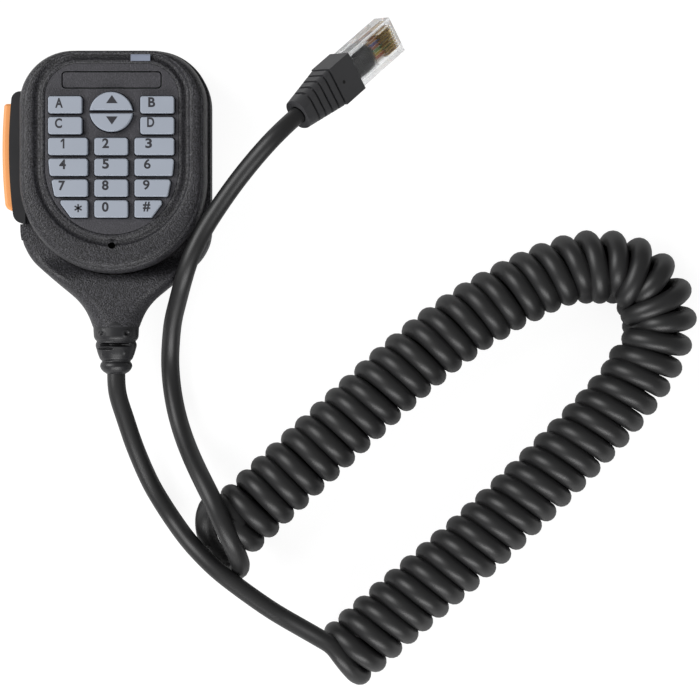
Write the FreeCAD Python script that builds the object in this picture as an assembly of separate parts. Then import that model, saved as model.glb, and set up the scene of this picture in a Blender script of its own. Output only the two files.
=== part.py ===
import FreeCAD, Part
import math
import os

# Hand microphone with a keypad, lying on its back: +Z points out of the keypad face, +Y to the top
# of the microphone, +X to its right. The origin is the centre of the hanger button's end face.
# All lengths are in millimetres.

Vector = FreeCAD.Vector

# ---------------------------------------------------------------- driving dimensions
# front cover: straight sides, a round bottom and big top corners
cover_half_width = 27.8
cover_top = 33.0
cover_bottom = -33.2
cover_corner_radius = 16.0
cover_step_inset = 1.8        # the face stands back from the side wall by this much
cover_step_height = 3.5
cover_wall = 2.0
face_thickness = 2.2
edge_fillet = 1.2

# rear shell: stands proud of the cover all round and narrows to a neck for the cord
shell_overhang = 0.8
shell_shoulder_y = -26.5      # where the straight side and the slanting flank would meet
shell_shoulder_radius = 15.0
shell_wall = 2.0
shell_edge_fillet = 3.0
neck_half_width = 6.65
neck_corner_y = -44.9
neck_radius = 17.4
neck_joint_y = -23.0          # the tub of the shell ends here and the neck begins
neck_pocket_y = -31.0         # the hollow of the case reaches this far into the neck
neck_pocket_margin = 0.9      # extra wall round that pocket
neck_rise_start_y = -27.0     # the neck's top climbs between these two
neck_rise_end_y = -36.0
neck_end_y = -49.0
neck_end_radius = 7.0
neck_top_rise = 4.4           # the neck stands this far above the parting plane
neck_sections = 13
cover_gap = 0.35              # between the cover's bottom rim and the neck

# heights
back_z = 5.0
parting_z = 17.0
face_z = 28.0
cord_exit_z = 14.5

# keys
key_half_height = 2.55
key_pitch = 6.15
key_first_row_y = 16.4
key_rise = 1.5                # key tops stand this far above the face
key_travel = 0.8
key_clearance = 0.25
key_corner_radius = 0.8
key_edge_fillet = 0.35
key_inner_x = 6.9             # inner edge of the two outer number columns
key_outer_x = 18.6
function_key_inner_x = 8.6
centre_key_half_width = 4.95
arrow_key_half_width = 6.35
arrow_key_height = 5.4
arrow_key_gap = 0.95
arrow_key_shift = 1.0         # the pair sits this far above the middle of the two top rows
key_ear = 0.6                 # ears under the cover that keep each key in
key_ear_thickness = 1.0
key_stop_gap = 0.3
key_taper = {3: (18.6, 18.1), 4: (17.7, 16.7)}   # outer edge at top and bottom of rows that narrow
bottom_key_outer_x = 14.95
bottom_key_cut = 3.0

# key mat and circuit board
board_thickness = 1.6
mat_thickness = 1.0
mat_gap = 0.3                 # left between a pressed key and the mat
board_edge_gap = 0.4
board_chip_places = [(0.0, 6.0, 4.5, 4.5), (11.0, 14.0, 3.0, 2.2), (10.0, -4.0, 2.6, 3.6),
                     (-9.0, 15.0, 2.4, 1.6)]     # centre and half sizes
board_chip_height = 1.2
board_bottom_y = -18.3
mat_screw_gap = 2.3           # between the mat's side and the middle of the side screws
mat_top_y = 20.9
mat_bottom_y = -17.0
mat_corner_radius = 6.0

# case screws and board screws
case_screw_upper_inset = 7.8   # from the cover's side
case_screw_upper_y = 25.5
case_screw_lower_inset = 9.8
case_screw_lower_y = -19.5
case_screw_reach = 5.5        # of the shank beyond the parting plane
case_screw_slot_half_length = 1.2
case_screw_slot_half_width = 0.25
case_screw_slot_depth = 0.9
case_post_radius = 2.4
shell_post_radius = 3.2
case_screw_radius = 1.15
case_screw_head_radius = 2.1
case_screw_head_height = 1.8
case_screw_head_seat = 3.0    # depth of the head's seat below the back face
board_screw_upper_x = 12.0
board_screw_upper_y = 26.0
board_screw_side_inset = 5.2
board_screw_side_y = 6.0
board_screw_reach = 2.8       # of the shank beyond the board
board_post_radius = 1.8
board_screw_radius = 0.9
board_screw_head_radius = 1.7
board_screw_head_height = 1.3
screw_clearance = 0.2

# microphone capsule in its rubber boot
capsule_y = -25.1
capsule_radius = 4.85
capsule_height = 6.0
capsule_boot_wall = 0.75
capsule_collar_wall = 1.0
sound_hole_radius = 1.0

# status lamp
lamp_left_x = 5.65
lamp_right_x = 11.4
lamp_bottom_y = 29.5
lamp_top_y = 32.1
lamp_chip_height = 1.0
lamp_chip_half_width = 1.5
lamp_chip_depth = 0.9
lamp_chip_inset = 0.1
lamp_gap = 0.3                # between the chip and the lens

# bare label recess on the face
label_half_width = 14.8
label_bottom_y = 21.35
label_top_y = 26.5
label_depth = 0.4
label_corner_radius = 1.2

# push-to-talk lever, its frame, switch and spring
ptt_frame_stand_out = 2.8     # of the frame's outer face beyond the shell's side
ptt_frame_depth = 4.9
ptt_frame_upper_radius = 2.6
ptt_frame_lower_radius = 3.2
ptt_frame_bottom_y = -18.2
ptt_frame_top_y = 21.3
ptt_frame_low_z = 9.0
ptt_frame_high_z = 21.0
ptt_frame_wall = 1.2
ptt_bar_stand_out = 5.1       # of the bar's face and of its back, beyond the shell's side
ptt_bar_back_out = 0.8
ptt_bar_bottom_y = -14.3
ptt_bar_top_y = 17.8
ptt_bar_upper_radius = 1.0
ptt_bar_lower_radius = 2.4
ptt_bow_radius = 160.0         # of the frame's and the bar's outer faces, seen from the front
ptt_bow_y = 4.0
ptt_side_gap = 0.4
ptt_end_gap = 0.6
ptt_pin_radius = 0.8
ptt_pin_y = 16.1
ptt_boss_radius = 1.7
ptt_pin_cap = 0.4             # left of the frame over the pin's end
pin_clearance = 0.05
ptt_press_degrees = 3.0
ptt_foot_y = -7.0
ptt_foot_width = 3.0
ptt_foot_reach = 2.4
plunger_gap = 0.3
plunger_width = 1.7
plunger_height = 1.8
plunger_length = 3.4
plunger_stand_out = 1.4
plunger_clearance = 0.15
switch_length = 5.0
switch_width = 6.8
switch_height = 6.8
spring_y = 6.0
spring_radius = 1.6
spring_wire_radius = 0.2
spring_turns = 5
spring_pocket_depth = 3.4
spring_pocket_radius = 2.1
spring_seat_width = 6.0
spring_seat_thickness = 1.2

# hanger button on the back
button_head_radius = 6.5
button_head_height = 2.2
button_neck_radius = 4.0
button_stud_radius = 2.0
button_nut_radius = 3.6
button_nut_height = 2.5
button_stud_reach = 3.5       # beyond the inside of the back wall

# strain relief, from the neck to the cord's exit
relief_collar_y = -52.7
relief_second_y = -53.6
relief_second_end_y = -58.4
relief_nose_y = -59.6
relief_end_y = -63.2
relief_collar_radius = 6.65
relief_slot_radius = 4.7
relief_second_radius = 5.95
relief_second_end_radius = 5.2
relief_groove_radius = 3.6
relief_nose_radius = 4.65
relief_nose_end_radius = 3.3
relief_shank_radius = 4.9
relief_shank_length = 8.0
neck_bore_clearance = 0.1

# cord
cord_radius = 2.75
coil_radius = 10.6            # outside of the curly stretch
bend_share = 0.45             # each arc's tangent length, as a share of the shorter run
cord_inner_end_y = -37.0
cord_tie_wall = 0.9
cord_tie_width = 2.0
inner_wire_radius = 0.55
inner_wire_offsets = [-1.6, -0.8, 0.0, 0.8, 1.6]
inner_wire_lead = 5.0         # straight run out of the cord
inner_wire_bend_run = 6.0     # run into the header
inner_wire_bend_drop = 2.6
header_setback = 2.1
header_half_width = 5.0
header_length = 5.0
header_height = 4.0

# modular plug (8P8C) and its boot
plug_length = 21.46
plug_half_width = 5.84
plug_half_height = 3.25
plug_contact_pitch = 1.02
plug_contact_count = 8
plug_contact_thickness = 0.35
plug_contact_length = 6.0
plug_contact_setback = 0.9
plug_wire_radius = 0.45
plug_wire_length = 10.2
plug_cavity_length = 10.5
plug_cavity_half_width = 4.2
plug_cavity_half_height = 2.3
plug_jacket_half_width = 3.4
plug_jacket_half_height = 1.7
boot_length = 24.0
boot_overlap = 0.6            # of the boot's mouth over the plug
boot_half_width = 6.25
boot_half_height = 4.15
boot_tail_half_width = 4.7
boot_tail_half_height = 3.9
boot_box_length = 9.0
boot_groove_count = 5
boot_groove_width = 0.8
boot_groove_depth = 0.7
latch_length = 12.5
latch_half_width = 3.0
latch_thickness = 0.9
latch_lift_degrees = 11.0
latch_squeeze_degrees = 9.0
latch_root_setback = 2.2
latch_gap = 0.3
plug_nose_x = 82.6
plug_nose_y = 40.5
plug_heading_degrees = 44.5
plug_pitch_degrees = 31.0     # nose down
plug_roll_degrees = 30.0

# ---------------------------------------------------------------- routes of the cord
mic_tail_route = [
    (0.0, -66.8, 14.5), (0.7, -71.0, 13.6), (2.3, -76.0, 12.4), (4.9, -84.9, 10.0), (9.1, -95.8, 6.0),
    (12.5, -102.0, 4.6), (16.6, -108.2, 4.9), (20.3, -112.8, 7.9), (23.8, -116.5, 10.7),
    (29.9, -122.4, 12.7), (37.5, -128.2, 13.1), (45.7, -133.9, 13.7), (50.9, -137.0, 14.2),
    (56.2, -139.8, 15.6), (61.5, -142.6, 17.4), (65.3, -144.7, 18.3), (68.6, -147.4, 18.2),
]
coil_route = [
    (67.1, -150.3), (86.0, -133.6), (109.0, -114.4), (134.0, -90.5), (155.0, -68.5),
    (165.5, -51.0), (164.0, -38.0), (154.0, -30.4), (139.0, -29.9), (114.0, -41.5), (92.0, -57.0),
    (66.5, -80.5), (47.4, -98.0), (34.6, -109.9),
]
plug_tail_route = [
    (36.9, -107.6, 17.8), (33.2, -102.8, 17.0), (29.1, -101.9, 14.0), (26.2, -104.2, 10.5),
    (25.2, -108.1, 7.5), (25.5, -112.6, 4.8), (27.3, -116.7, 3.2), (30.3, -120.4, 3.0),
    (33.8, -123.0, 4.6), (36.6, -123.2, 8.2), (37.5, -120.8, 12.2), (36.3, -117.0, 16.6),
    (34.9, -113.2, 20.0), (32.2, -107.3, 22.0), (29.9, -101.6, 21.8), (26.3, -95.1, 18.5),
    (23.1, -89.4, 13.5), (20.3, -83.5, 9.0), (18.1, -77.5, 5.8), (16.6, -71.5, 4.2),
    (15.7, -65.3, 3.7), (15.4, -59.2, 4.4), (15.9, -53.1, 7.0), (16.8, -47.1, 11.0),
    (18.7, -41.1, 15.6), (20.6, -35.4, 20.9), (22.9, -28.6, 23.8), (26.7, -20.8, 24.3),
    (31.4, -13.7, 25.8), (36.6, -6.6, 27.8), (42.8, 0.8, 30.6),
]
boot_lead = 8.5               # straight cord behind the boot

# ---------------------------------------------------------------- worked-out heights
face_underside_z = face_z - face_thickness
step_z = face_z - cover_step_height
ear_top_z = face_underside_z - key_stop_gap
ear_low_z = ear_top_z - key_ear_thickness
mat_top_z = ear_low_z - key_travel - mat_gap
board_top_z = mat_top_z - mat_thickness
board_low_z = board_top_z - board_thickness
floor_z = back_z + shell_wall
shell_half_width = cover_half_width + shell_overhang
shell_top = cover_top + shell_overhang
shell_corner_radius = cover_corner_radius + shell_overhang

# ---------------------------------------------------------------- places that follow the cover's width
ptt_frame_out_x = -shell_half_width - ptt_frame_stand_out
ptt_frame_in_x = ptt_frame_out_x + ptt_frame_depth
ptt_bar_out_x = -shell_half_width - ptt_bar_stand_out
ptt_bar_in_x = -shell_half_width - ptt_bar_back_out
ptt_pin_x = -shell_half_width
case_screw_upper_x = cover_half_width - case_screw_upper_inset
case_screw_lower_x = cover_half_width - case_screw_lower_inset
case_screw_places = [(case_screw_upper_x, case_screw_upper_y), (-case_screw_upper_x, case_screw_upper_y),
                     (case_screw_lower_x, case_screw_lower_y), (-case_screw_lower_x, case_screw_lower_y)]
board_screw_side_x = cover_half_width - board_screw_side_inset
board_screw_places = [(board_screw_upper_x, board_screw_upper_y), (-board_screw_upper_x, board_screw_upper_y),
                      (board_screw_side_x, board_screw_side_y), (-board_screw_side_x, board_screw_side_y)]
mat_half_width = board_screw_side_x - mat_screw_gap


# ---------------------------------------------------------------- shape helpers
def rounded_wire(corners, z=0.0):
    """Closed wire in a level plane through (x, y, radius) corners, each rounded by its radius."""
    starts, arcs = [], []
    count = len(corners)
    for i in range(count):
        x, y, radius = corners[i]
        here = Vector(x, y, z)
        before = Vector(corners[i - 1][0], corners[i - 1][1], z) - here
        after = Vector(corners[(i + 1) % count][0], corners[(i + 1) % count][1], z) - here
        half = before.getAngle(after) / 2
        before.normalize()
        after.normalize()
        reach = radius / math.tan(half)
        bisector = (before + after).normalize()
        centre = here + bisector * (radius / math.sin(half))
        starts.append((here + before * reach, here + after * reach))
        arcs.append(centre - bisector * radius)
    edges = []
    for i in range(count):
        begin, end = starts[i]
        if corners[i][2] > 0:
            edges.append(Part.Arc(begin, arcs[i], end).toShape())
        following = starts[(i + 1) % count][0]
        if end.distanceToPoint(following) > 1e-6:
            edges.append(Part.LineSegment(end, following).toShape())
    return Part.Wire(edges)


def slab(corners, low, high):
    """Solid of a rounded outline between two heights."""
    face = Part.Face(rounded_wire(corners, low))
    return face.extrude(Vector(0, 0, high - low))


def box(x0, x1, y0, y1, z0, z1):
    return Part.makeBox(x1 - x0, y1 - y0, z1 - z0, Vector(x0, y0, z0))


def post(x, y, radius, low, high):
    return Part.makeCylinder(radius, high - low, Vector(x, y, low))


def rod_along_y(radius, y_from, y_to, x=0.0, z=0.0):
    return Part.makeCylinder(radius, y_to - y_from, Vector(x, y_from, z), Vector(0, 1, 0))


def cover_outline(inset=0.0):
    """Outline of the front cover, moved inwards by inset."""
    side = cover_half_width - inset
    low = cover_bottom + inset
    top = cover_top - inset
    corner = cover_corner_radius - inset
    return [(side, low, side), (side, top, corner), (-side, top, corner), (-side, low, side)]


def flank_slope():
    """Unit vector from the shoulder corner towards the neck corner, on the right side."""
    run = Vector(neck_half_width - shell_half_width, neck_corner_y - shell_shoulder_y, 0)
    return run.normalize()


def shell_half_width_at(y):
    """Half width of the rear shell's outline where it narrows to the neck."""
    slope = flank_slope()
    turn = math.acos(-slope.y) / 2
    shoulder_reach = shell_shoulder_radius * math.tan(turn)
    shoulder_x = shell_half_width - shell_shoulder_radius
    shoulder_y = shell_shoulder_y + shoulder_reach
    arc_end_y = shell_shoulder_y + slope.y * shoulder_reach
    neck_reach = neck_radius * math.tan(turn)
    neck_x = neck_half_width + neck_radius
    neck_y = neck_corner_y - neck_reach
    arc_start_y = neck_corner_y - slope.y * neck_reach
    if y >= shoulder_y:
        return shell_half_width
    if y >= arc_end_y:
        return shoulder_x + math.sqrt(shell_shoulder_radius ** 2 - (y - shoulder_y) ** 2)
    if y >= arc_start_y:
        return shell_half_width + (y - shell_shoulder_y) * slope.x / slope.y
    return neck_x - math.sqrt(neck_radius ** 2 - (y - neck_y) ** 2)


def tub_outline(inset=0.0):
    """Outline of the rear shell with its shoulders, before the neck is added."""
    side = shell_half_width - inset
    top = shell_top - inset
    corner = shell_corner_radius - inset
    shoulder = shell_shoulder_radius - inset
    low = shell_shoulder_y - shell_shoulder_radius + inset
    slope = flank_slope()
    low_x = side + (low - shell_shoulder_y) * slope.x / slope.y
    return [(low_x, low, 0), (side, shell_shoulder_y + inset / 2, shoulder), (side, top, corner),
            (-side, top, corner), (-side, shell_shoulder_y + inset / 2, shoulder), (-low_x, low, 0)]


def section_across(y, half_width, low, high, radius):
    """Rounded rectangle standing across the Y axis."""
    middle = (low + high) / 2
    reach = (high - low) / 2
    wire = rounded_wire([(half_width, -reach, radius), (half_width, reach, radius),
                         (-half_width, reach, radius), (-half_width, -reach, radius)])
    wire.Placement = FreeCAD.Placement(Vector(0, y, middle), FreeCAD.Rotation(Vector(1, 0, 0), 90))
    return wire


def tube_path(points):
    """Straight runs through the points, with a tangent arc at each corner; also the arcs' radii."""
    runs = [(b - a).Length for a, b in zip(points, points[1:])]
    edges, radii = [], []
    at = points[0]
    for i in range(1, len(points) - 1):
        before = (points[i - 1] - points[i]).normalize()
        after = (points[i + 1] - points[i]).normalize()
        reach = bend_share * min(runs[i - 1], runs[i])
        half = before.getAngle(after) / 2
        radius = reach * math.tan(half)
        bisector = (before + after).normalize()
        middle = points[i] + bisector * (radius / math.sin(half) - radius)
        begin, end = points[i] + before * reach, points[i] + after * reach
        edges.append(Part.LineSegment(at, begin).toShape())
        edges.append(Part.Arc(begin, middle, end).toShape())
        radii.append(radius)
        at = end
    edges.append(Part.LineSegment(at, points[-1]).toShape())
    return Part.Wire(edges), radii


def tube(points, radius, name=None):
    """Round tube along a path of runs and arcs; a named one reports its radii and its volume."""
    path, radii = tube_path(points)
    ring = Part.Wire([Part.makeCircle(radius, points[0], points[1] - points[0])])
    solid = path.makePipeShell([ring], True, False)
    if name:
        expected = math.pi * radius ** 2 * path.Length
        print(name, "length", round(path.Length, 1), "radii", [round(r, 1) for r in radii],
              "volume / expected", round(solid.Volume / expected, 4))
    return solid


# ---------------------------------------------------------------- keys
def key_row_y(row):
    return key_first_row_y - key_pitch * row


def side_key(row, inner, outer_top, outer_bottom, side):
    """Corners of a key on one side of the keypad; side is 1 to the right, -1 to the left."""
    y = key_row_y(row)
    corners = [(inner * side, y - key_half_height), (outer_bottom * side, y - key_half_height),
               (outer_top * side, y + key_half_height), (inner * side, y + key_half_height)]
    return [(cx, cy, key_corner_radius) for cx, cy in corners]


def bottom_side_key(side):
    """Star or hash key: its lower outer corner is cut off."""
    y = key_row_y(5)
    low, high = y - key_half_height, y + key_half_height
    corners = [(key_inner_x * side, low), ((bottom_key_outer_x - bottom_key_cut) * side, low),
               (bottom_key_outer_x * side, y + key_half_height * 0.6),
               (bottom_key_outer_x * side, high), (key_inner_x * side, high)]
    radius = key_corner_radius * 0.6
    return [(cx, cy, radius) for cx, cy in corners]


def centre_key(row):
    y = key_row_y(row)
    half = centre_key_half_width
    return [(half, y - key_half_height, key_corner_radius), (half, y + key_half_height, key_corner_radius),
            (-half, y + key_half_height, key_corner_radius), (-half, y - key_half_height, key_corner_radius)]


def key_outlines():
    """Every key that is a rounded polygon: name to corners."""
    outlines = {}
    for row, names in enumerate([("key_a", "key_b"), ("key_c", "key_d")]):
        outlines[names[0]] = side_key(row, function_key_inner_x, key_outer_x, key_outer_x, -1)
        outlines[names[1]] = side_key(row, function_key_inner_x, key_outer_x, key_outer_x, 1)
    for row, first in ((2, 1), (3, 4), (4, 7)):
        top, bottom = key_taper.get(row, (key_outer_x, key_outer_x))
        outlines["key_%d" % first] = side_key(row, key_inner_x, top, bottom, -1)
        outlines["key_%d" % (first + 1)] = centre_key(row)
        outlines["key_%d" % (first + 2)] = side_key(row, key_inner_x, top, bottom, 1)
    outlines["key_star"] = bottom_side_key(-1)
    outlines["key_0"] = centre_key(5)
    outlines["key_hash"] = bottom_side_key(1)
    return outlines


def arrow_prism(way, low, high, grow=0.0):
    """Round-backed key with its flat side at the middle of the two top rows; way is 1 up, -1 down."""
    flat = (key_row_y(0) + key_row_y(1)) / 2 + arrow_key_shift + way * (arrow_key_gap / 2 - grow)
    peak = flat + way * (arrow_key_height + 2 * grow)
    wide = arrow_key_half_width + grow
    left, right = Vector(-wide, flat, low), Vector(wide, flat, low)
    arc = Part.Arc(left, Vector(0, peak, low), right).toShape()
    chord = Part.LineSegment(right, left).toShape()
    return Part.Face(Part.Wire([arc, chord])).extrude(Vector(0, 0, high - low))


def grown(corners, by):
    """Outline moved outwards by a small distance, from the offset of its wire."""
    face = Part.Face(rounded_wire(corners, 0))
    return face.makeOffset2D(by)


def key_hole(corners):
    face = grown(corners, key_clearance)
    face.translate(Vector(0, 0, face_underside_z - key_clearance))
    return face.extrude(Vector(0, 0, face_thickness + 2 * key_clearance))


def top_edges(solid, height):
    """Edges that lie in the level plane at a height."""
    return [e for e in solid.Edges if abs(e.BoundBox.ZMin - height) < 1e-6
            and abs(e.BoundBox.ZMax - height) < 1e-6]


def ears(x0, x1, y0, y1):
    return box(x0 - key_ear, x1 + key_ear, y0, y1, ear_low_z, ear_top_z)


def key_cap(prism):
    """Key with rounded top edges and two ears below the cover."""
    capped = prism.makeFillet(key_edge_fillet, top_edges(prism, face_z + key_rise))
    bounds = prism.BoundBox
    inner = bounds.YLength * 0.25
    return capped.fuse(ears(bounds.XMin + key_corner_radius, bounds.XMax - key_corner_radius,
                            bounds.YMin + inner, bounds.YMax - inner)).removeSplitter()


def key_solids():
    solids = {}
    top = face_z + key_rise
    for name, corners in key_outlines().items():
        solids[name] = key_cap(slab(corners, ear_low_z, top))
    solids["key_up"] = key_cap(arrow_prism(1, ear_low_z, top))
    solids["key_down"] = key_cap(arrow_prism(-1, ear_low_z, top))
    return solids


# ---------------------------------------------------------------- case
def ptt_window():
    return box(ptt_frame_out_x, ptt_frame_in_x, ptt_frame_bottom_y, ptt_frame_top_y,
               ptt_frame_low_z, ptt_frame_high_z)


def ptt_passage(low):
    """Way through the wall behind the frame for the lever's foot, from a height up."""
    return box(ptt_frame_in_x - 0.1, ptt_frame_in_x + cover_wall, ptt_bar_bottom_y, ptt_bar_top_y,
               low, ptt_frame_high_z - ptt_frame_wall)


def lamp_block(low):
    return box(lamp_left_x, lamp_right_x, lamp_bottom_y, lamp_top_y, low, face_z)


def front_cover():
    lower = slab(cover_outline(), parting_z, step_z)
    upper = slab(cover_outline(cover_step_inset), step_z, face_z)
    upper = upper.makeFillet(edge_fillet, top_edges(upper, face_z))
    cover = lower.fuse(upper)
    cover = cover.cut(slab(cover_outline(cover_wall), parting_z - 1, step_z - cover_wall))
    cover = cover.cut(slab(cover_outline(cover_wall + cover_step_inset), parting_z, face_underside_z))
    collar_radius = capsule_radius + capsule_boot_wall + capsule_collar_wall
    cover = cover.fuse(post(0, capsule_y, collar_radius, board_top_z + 0.3, face_underside_z + 0.1))
    for x, y in case_screw_places:
        cover = cover.fuse(post(x, y, case_post_radius, parting_z, face_underside_z + 0.1))
        cover = cover.cut(post(x, y, case_screw_radius, parting_z - 1, case_screw_tip_z() + 0.5))
    for x, y in board_screw_places:
        cover = cover.fuse(post(x, y, board_post_radius, board_top_z, face_underside_z + 0.1))
        cover = cover.cut(post(x, y, board_screw_radius, board_top_z - 1, board_screw_tip_z() + 0.5))
    cover = cover.common(slab(cover_outline(), parting_z, face_z + 1))
    cover = cover.cut(post(0, capsule_y, capsule_radius + capsule_boot_wall, parting_z, face_underside_z))
    cover = cover.cut(post(0, capsule_y, sound_hole_radius, face_underside_z - 1, face_z + 1))
    for corners in key_outlines().values():
        cover = cover.cut(key_hole(corners))
    for way in (1, -1):
        cover = cover.cut(arrow_prism(way, face_underside_z - 0.1, face_z + 0.1, key_clearance))
    label = [(label_half_width, label_bottom_y, label_corner_radius),
             (label_half_width, label_top_y, label_corner_radius),
             (-label_half_width, label_top_y, label_corner_radius),
             (-label_half_width, label_bottom_y, label_corner_radius)]
    cover = cover.cut(slab(label, face_z - label_depth, face_z + 1))
    cover = cover.cut(lamp_block(parting_z))
    return cover.cut([ptt_window(), ptt_passage(parting_z)]).removeSplitter()


def neck_solid():
    """Neck lofted from the tub's end to the strain relief; its top climbs beside the cover's rim."""
    sections = []
    span = neck_joint_y - neck_end_y
    end_low = cord_exit_z - neck_end_radius
    end_high = cord_exit_z + neck_end_radius
    for i in range(neck_sections):
        share = i / (neck_sections - 1)
        y = neck_joint_y - span * share
        half = max(shell_half_width_at(y), neck_end_radius) if share < 1 else neck_end_radius
        low = back_z + (end_low - back_z) * share
        climb = min(1, max(0, (neck_rise_start_y - y) / (neck_rise_start_y - neck_rise_end_y)))
        climb = climb * climb * (3 - 2 * climb)
        high = parting_z + neck_top_rise * climb + (end_high - parting_z - neck_top_rise) * share
        radius = min(shell_edge_fillet + (neck_end_radius - shell_edge_fillet) * share,
                     half, (high - low) / 2) * 0.97
        sections.append(section_across(y, half, low, high, radius))
    return Part.makeLoft(sections, True, False)


def case_hollow():
    """Inside of the tub: full width below the deck, and the cover's own inside through the deck."""
    keep = box(-shell_half_width, shell_half_width, neck_joint_y + shell_wall, shell_top, 0, face_z)
    deck_low = parting_z - shell_wall
    below = slab(tub_outline(shell_wall), floor_z, deck_low).common(keep)
    through = slab(cover_outline(cover_wall), deck_low - 1, parting_z + 1)
    through = through.common(slab(tub_outline(shell_wall), floor_z, parting_z + 1)).common(keep)
    pocket = slab(tub_outline(shell_wall + neck_pocket_margin), floor_z + neck_pocket_margin, deck_low)
    reach = box(-shell_half_width, shell_half_width, neck_pocket_y, neck_joint_y + shell_wall + 1, 0, face_z)
    return below.fuse([through, pocket.common(reach)])


def rear_shell():
    tub = slab(tub_outline(), back_z, parting_z)
    tub = tub.makeFillet(shell_edge_fillet, top_edges(tub, back_z))
    tub = tub.common(box(-shell_half_width, shell_half_width, neck_joint_y, shell_top, back_z, parting_z))
    neck = neck_solid().cut(slab(cover_outline(-cover_gap), parting_z, face_z))
    shell = tub.fuse(neck).cut(case_hollow())
    within_wall = slab(tub_outline(shell_wall / 2), back_z, parting_z)
    posts = [post(x, y, shell_post_radius, floor_z - 0.5, parting_z).common(within_wall)
             for x, y in case_screw_places]
    shell = shell.fuse(posts)
    seat_z = back_z + case_screw_head_seat
    for x, y in case_screw_places:
        shell = shell.cut(post(x, y, case_screw_radius + screw_clearance, back_z, parting_z))
        shell = shell.cut(post(x, y, case_screw_head_radius + screw_clearance, back_z, seat_z))
    shell = shell.cut(rod_along_y(relief_shank_radius + neck_bore_clearance, neck_end_y - 1,
                                  neck_joint_y + 2 * shell_wall, 0, cord_exit_z))
    shell = shell.cut(post(0, 0, button_stud_radius, back_z - 1, floor_z + 1))
    return shell.cut([ptt_window(), ptt_passage(parting_z - shell_wall)]).removeSplitter()


# ---------------------------------------------------------------- board, mat, lamp and capsule
def board_outline(inset):
    outline = cover_outline(inset)
    keep = box(-cover_half_width, cover_half_width, board_bottom_y, cover_top, -1, face_z)
    return outline, keep


def circuit_board():
    outline, keep = board_outline(cover_wall + board_edge_gap)
    board = slab(outline, board_low_z, board_top_z).common(keep)
    for x, y in case_screw_places:
        board = board.cut(post(x, y, case_post_radius + board_edge_gap, board_low_z - 1, board_top_z + 1))
    for x, y in board_screw_places:
        board = board.cut(post(x, y, board_screw_radius + 0.1, board_low_z - 1, board_top_z + 1))
    return board


def board_chips():
    chips = [box(x - dx, x + dx, y - dy, y + dy, board_low_z - board_chip_height, board_low_z)
             for x, y, dx, dy in board_chip_places]
    return Part.makeCompound(chips)


def board_header():
    y = board_bottom_y + header_setback
    return box(-header_half_width, header_half_width, y, y + header_length,
               board_low_z - header_height, board_low_z)


def key_mat():
    corners = [(mat_half_width, mat_bottom_y, mat_corner_radius), (mat_half_width, mat_top_y, 1.0),
               (-mat_half_width, mat_top_y, 1.0), (-mat_half_width, mat_bottom_y, mat_corner_radius)]
    return slab(corners, board_top_z, mat_top_z)


def lamp_low_z():
    return board_top_z + lamp_chip_height + lamp_gap


def lamp_lens():
    lens = lamp_block(lamp_low_z())
    outer = [e for e in lens.Edges if abs(e.BoundBox.YMin - lamp_top_y) < 1e-6
             and abs(e.BoundBox.ZMin - face_z) < 1e-6]
    return lens.makeFillet(edge_fillet, outer)


def lamp_chip():
    middle = (lamp_left_x + lamp_right_x) / 2
    low_y = lamp_bottom_y + lamp_chip_inset
    return box(middle - lamp_chip_half_width, middle + lamp_chip_half_width, low_y,
               low_y + lamp_chip_depth, board_top_z, board_top_z + lamp_chip_height)


def capsule_top_z():
    return face_underside_z - capsule_boot_wall


def mic_boot():
    low = capsule_top_z() - capsule_height
    boot = post(0, capsule_y, capsule_radius + capsule_boot_wall, low, face_underside_z)
    boot = boot.cut(post(0, capsule_y, capsule_radius, low - 1, capsule_top_z()))
    return boot.cut(post(0, capsule_y, sound_hole_radius, low, face_underside_z + 1))


def mic_capsule():
    return post(0, capsule_y, capsule_radius, capsule_top_z() - capsule_height, capsule_top_z())


# ---------------------------------------------------------------- screws and hanger button
def case_screw_tip_z():
    return parting_z + case_screw_reach


def board_screw_tip_z():
    return board_top_z + board_screw_reach


def case_screws():
    seat_z = back_z + case_screw_head_seat
    screws = []
    for x, y in case_screw_places:
        head = post(x, y, case_screw_head_radius, seat_z - case_screw_head_height, seat_z)
        shank = post(x, y, case_screw_radius, seat_z, case_screw_tip_z())
        slot = box(x - case_screw_slot_half_length, x + case_screw_slot_half_length,
                   y - case_screw_slot_half_width, y + case_screw_slot_half_width,
                   seat_z - case_screw_head_height, seat_z - case_screw_head_height + case_screw_slot_depth)
        screws.append(head.fuse(shank).cut(slot))
    return Part.makeCompound(screws)


def board_screws():
    screws = []
    for x, y in board_screw_places:
        head = post(x, y, board_screw_head_radius, board_low_z - board_screw_head_height, board_low_z)
        shank = post(x, y, board_screw_radius, board_low_z, board_screw_tip_z())
        screws.append(head.fuse(shank))
    return Part.makeCompound(screws)


def hanger_button():
    head = post(0, 0, button_head_radius, 0, button_head_height)
    head = head.makeFillet(0.5, [e for e in head.Edges if e.BoundBox.XLength > button_head_radius])
    neck = post(0, 0, button_neck_radius, button_head_height, back_z)
    stud = post(0, 0, button_stud_radius, back_z, floor_z + button_stud_reach)
    return head.fuse([neck, stud]).removeSplitter()


def hanger_nut():
    corners = [Vector(button_nut_radius * math.cos(math.radians(60 * i)),
                      button_nut_radius * math.sin(math.radians(60 * i)), floor_z) for i in range(7)]
    nut = Part.Face(Part.makePolygon(corners)).extrude(Vector(0, 0, button_nut_height))
    return nut.cut(post(0, 0, button_stud_radius, floor_z - 1, floor_z + button_nut_height + 1))


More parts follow.
